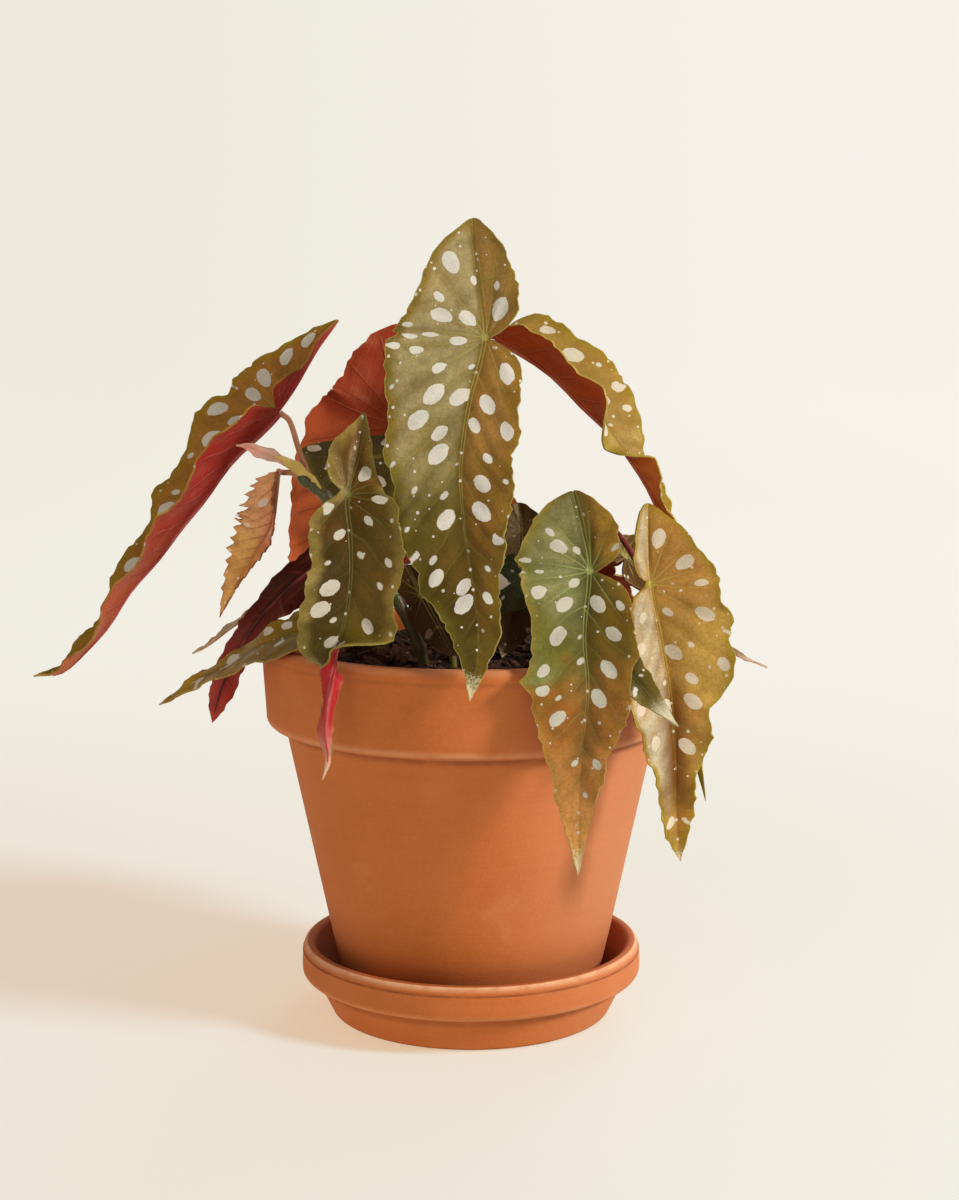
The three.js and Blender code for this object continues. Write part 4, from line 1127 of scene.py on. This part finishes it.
STALK_COLOURS = {
    "green": ("6a6c2c", "7c662a", "a3a066"),
    "red": ("9c5636", "8a4028", "c49468"),
    "rosy": ("c88c64", "b47850", "e0b890"),
    "dark_red": ("6a221c", "7c3024", "9c5a44"),
    "cane": ("4f5a2c", "5a4a28", "93905c"),
    "olive": ("5c5e30", "6a5230", "9a9460"),
}
STEMS = {
    "cane_left": dict(
        radius=2.1, foot=(-17, -20),
        path=[(-24, -20, 151), (-37, -19, 175), (-50, -20, 191), (-57, -20, 197)],
        stalks=[
            ("leaf_left_folded", "rosy", (-55, -20, 195), [(-60, -15, 206)]),
            ("leaf_mid_left", "olive", (-37, -19, 175), [(-40, -32, 190)]),
            ("leaf_low_left", "red", (-27, -20, 157), [(-40, -21, 150), (-50, -27, 142)]),
            ("leaf_young_toothed", "rosy", (-57, -20, 197), [(-62, -20, 200)]),
        ],
    ),
    "cane_centre": dict(
        radius=2.3, foot=(6, 2), path=[(4, 1, 160), (0, 1, 200), (-1, 0, 228)],
        stalks=[
            ("leaf_front_tall", "olive", (-1, 0, 226), [(1, -14, 241), (4, -30, 246)]),
            ("leaf_right_arching", "red", (-1, 0, 222), [(2, 4, 234)]),
            ("leaf_back_left", "red", (0, 1, 198), [(-12, 11, 209)]),
            ("leaf_dark_behind", "olive", (1, 1, 188), [(-20, 9, 194), (-38, 12, 197)]),
            ("leaf_back_centre", "red", (3, 1, 175), [(0, 22, 186)]),
            ("leaf_inner_brown", "red", (4, 1, 162), [(12, -3, 173)]),
            ("leaf_low_maroon", "dark_red", (4, 1, 158), [(-20, 1, 168), (-40, 3, 171)]),
            ("leaf_back_far_left", "olive", (5, 2, 142), [(-10, 22, 153)]),
            ("leaf_pale_tip", "red", (6, 2, 138), [(-20, 13, 148), (-42, 20, 155)]),
        ],
    ),
    "cane_right": dict(
        radius=2.1, foot=(30, -12), path=[(33, -15, 155), (38, -18, 174), (42, -20, 184)],
        stalks=[
            ("leaf_right_golden", "dark_red", (41, -20, 182), [(50, -30, 181)]),
            ("leaf_right_centre", "red", (36, -17, 166), [(39, -36, 175)]),
            ("leaf_back_right", "red", (37, -18, 170), [(45, -18, 168)]),
            ("leaf_inner_teal", "red", (33, -15, 155), [(27, -24, 160)]),
            ("leaf_small_right", "olive", (30.5, -12, 140), [(36, -35, 142)]),
            ("leaf_back_far_right", "olive", (30, -12, 136), [(34, 10, 148)]),
        ],
    ),
    "shoot_young": dict(
        radius=1.3, foot=(-6, -28), path=[(-8, -27, 144), (-11, -26, 152)],
        stalks=[("leaf_small_dark", "green", (-10.5, -26, 151), [(-14, -27, 156)])],
    ),
}
# The papery bract that wraps the left cane's tip, and the pink curl at its end
WRAPS = {
    "bract": (("bract_green", "ecd068", "c4a43c", "f0e0b0"), dict(
        joint=0, wave=0.2, waves=2, scallop=0.02, slant=(0.9, 1.2), fold=[[52, 52], [60, 60]],
        face=[[0, 0.3, 1]], stations=[
            [-53, -21, 193, 2, 2], [-57, -21, 197, 3.6, 3.4], [-62, -21, 201, 3.8, 3.6],
            [-67, -21, 204, 2.6, 2.6], [-71, -20, 205, 0.8, 0.8],
        ],
    )),
    # The curl is pink; its colours are made paler and brighter as painted light, standing in for light
    # shining through its thin tissue.
    "curl": (("curl_pink", "f4c8b0", "e89c8c", "fff0e4"), dict(
        joint=0, wave=0.5, waves=3, scallop=0.1, slant=(0.9, 1.2), fold=[[40, 35]],
        face=[[0, -0.6, 0.8], [0.2, -1, 0], [0.3, -0.5, -1]], stations=[
            [-65, -20, 203, 1.8, 2], [-69, -21, 206, 2.6, 2.8], [-74, -22, 208, 2.4, 2.6],
            [-78, -22, 210, 1.6, 1.6], [-82, -22, 210, 0, 0],
        ],
    )),
}


def cane_radii(points, radius):
    """A cane thickens in a ring where a leaf or a scar sits."""
    gone, radii = 0.0, []
    for k, point in enumerate(points):
        if k:
            gone += (point - points[k - 1]).length
        ring = math.exp(-(((gone + 4) % RING_SPACING - RING_SPACING / 2) ** 2) / 2.2)
        radii.append(radius * (CANE_SHARE + 0.2 * ring))
    radii[-1] *= 0.7
    return radii


def bud(name, start, end, thick, material):
    """The swelling at the foot of a leaf stalk."""
    start, end = Vector(start), Vector(end)
    marks = [k / 10 for k in range(11)]
    points = [start.lerp(end, t) for t in marks]
    radii = [max(0.1, thick * math.sin(math.pi * t) ** 0.8) for t in marks]
    return stalk(name, points, radii, material)


def make_stems(blades):
    paints = {key: stem_finish(f"stem_{key}", *colours) for key, colours in STALK_COLOURS.items()}
    for name, stem in STEMS.items():
        x, y = stem["foot"]
        radius = stem["radius"]
        start = [(x, y, CANE_FOOT), (x, y, SOIL_TOP - 10), (x, y, SOIL_TOP + 4)]
        points = curve_points([*start, *stem["path"]], CANE_STEPS)
        main = "green" if name == "shoot_young" else "cane"
        pieces = [stalk(f"{name}_main", points, cane_radii(points, radius), paints[main], sides=5)]
        for leaf, colour, origin, via in stem["stalks"]:
            blade = blades[leaf]
            joint = np.array([blade.joint_at])
            up = Vector(blade.frame(joint)[1][0])
            rib = Vector(blade.rib(joint)[0])
            ends = [rib - up * (STALK_GAP + d) for d in (4.0, 1.3, 0.0)]
            way = curve_points([origin, *via, *ends], STALK_STEPS)
            last = len(way) - 1
            radii = [1.0 + 0.35 * math.exp(-k / 5) + 0.25 * math.exp((k - last) / 4) for k in range(last + 1)]
            pieces.append(stalk(f"{name}_{leaf}", way, radii, paints[colour], sides=4))
            ahead = (Vector(via[0]) - Vector(origin)).normalized()
            low = Vector(origin) - ahead * 1.4 * radius
            high = Vector(origin) + ahead * 5
            pieces.append(bud(f"{name}_{leaf}_bud", low, high, 1.2 * radius, paints[main]))
        if name == "cane_left":
            pieces.append(bud("sheath_foot", (-22, -20, 146), (-17, -23, 160), 1.7, paints["red"]))
            for part, (colours, form) in WRAPS.items():
                pieces.append(blade_mesh(part, Blade(**form), [stem_finish(*colours)] * 2, WRAP_ROW))
        cane = joined(f"{name}_stems", pieces)
        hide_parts(name)
        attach(cane, "root")


# The stage

FLOOR = 6
FLOOR_AWAY = 0.6
PAPER = (0.204, 0.41, 0.514, 1)
FAR_PAPER = (0.02, 0.02, 0.02, 1)
FLOOR_GLOW = (0.666, 0.444, 0.289, 1)
LEFT_GLOW = (0.835, 0.81, 0.71, 1)
RIGHT_GLOW = (0.91, 0.87, 0.81, 1)


def paper_finish():
    """Pale studio paper, lit from all round: part of its light is its own, so shadows on it stay soft
    and it is even in the distance."""
    finish = Finish("floor_paper")
    across, away, _ = finish.split(finish.place)
    far = away.between(0.1, 0.75)
    back_glow = finish.mix(across.between(-0.7, 0.7, ease="LINEAR"), LEFT_GLOW, RIGHT_GLOW)
    glow = finish.mix(far, FLOOR_GLOW, back_glow)
    finish.base = finish.mix(far, PAPER, FAR_PAPER)
    fixed = {"Emission Color": glow, "Emission Strength": 1.0, "Specular IOR Level": 0.05}
    return finish.shade(0.95, **fixed)


def make_stage():
    """A pale floor that sweeps up into a backdrop."""
    deselect()
    bpy.ops.mesh.primitive_plane_add(size=FLOOR, location=(0, FLOOR_AWAY, -0.0004))
    floor = named("floor")
    edit()
    bpy.ops.mesh.select_all(action="DESELECT")
    leave()
    for edge in floor.data.edges:
        edge.select = all(floor.data.vertices[v].co.y > FLOOR / 2 - 0.1 for v in edge.vertices)
    bpy.ops.object.mode_set(mode="EDIT")
    for rise, away in ((0.12, 0.5), (0.35, 0.4), (0.6, 0.25), (3.0, 0.15)):
        bpy.ops.mesh.extrude_region_move(TRANSFORM_OT_translate={"value": (0, away, rise)})
    leave()
    settle(floor)
    bpy.ops.object.shade_smooth()
    paint(floor, paper_finish())


def add(name, data, place):
    made = bpy.data.objects.new(name, data)
    bpy.context.collection.objects.link(made)
    made.location = place
    return made


def lamp(name, place, aim, size, power, colour):
    data = bpy.data.lights.new(name, "AREA")
    data.shape = "RECTANGLE"
    data.size = data.size_y = size
    data.energy = power
    data.color = colour
    aimed = (Vector(aim) - Vector(place)).to_track_quat("-Z", "Y")
    add(name, data, place).rotation_euler = aimed.to_euler()


def make_light():
    lamp("key", (1.75, -0.85, 1.25), (0, 0, 0.14), 0.42, 47, (1.0, 0.965, 0.91))
    lamp("fill", (-0.9, -1.9, 0.8), (0, 0, 0.12), 1.4, 8, (1.0, 0.93, 0.86))
    lamp("rim", (0.5, 1.4, 0.9), (0, 0, 0.18), 0.8, 6, (1.0, 0.95, 0.88))
    world = bpy.data.worlds.new("studio")
    bpy.context.scene.world = world
    world.use_nodes = True
    back = world.node_tree.nodes["Background"]
    back.inputs["Color"].default_value = (1.0, 0.95, 0.88, 1)
    back.inputs["Strength"].default_value = 0.28


def make_camera():
    data = bpy.data.cameras.new("camera")
    data.sensor_fit = "HORIZONTAL"
    data.sensor_width = SENSOR
    data.lens = SENSOR * FOCAL_PIXELS / PHOTO_WIDTH
    camera = add("camera", data, CAMERA_PLACE)
    camera.rotation_euler = (math.radians(90 - CAMERA_PITCH), 0, 0)
    bpy.context.scene.camera = camera
    bpy.context.scene.view_settings.view_transform = "Standard"


make_camera()
make_stage()
make_light()
make_clay()
make_soil()
blades = {name: make_leaf(name, form, k) for k, (name, form) in enumerate(LEAVES.items())}
make_stems(blades)
deselect()
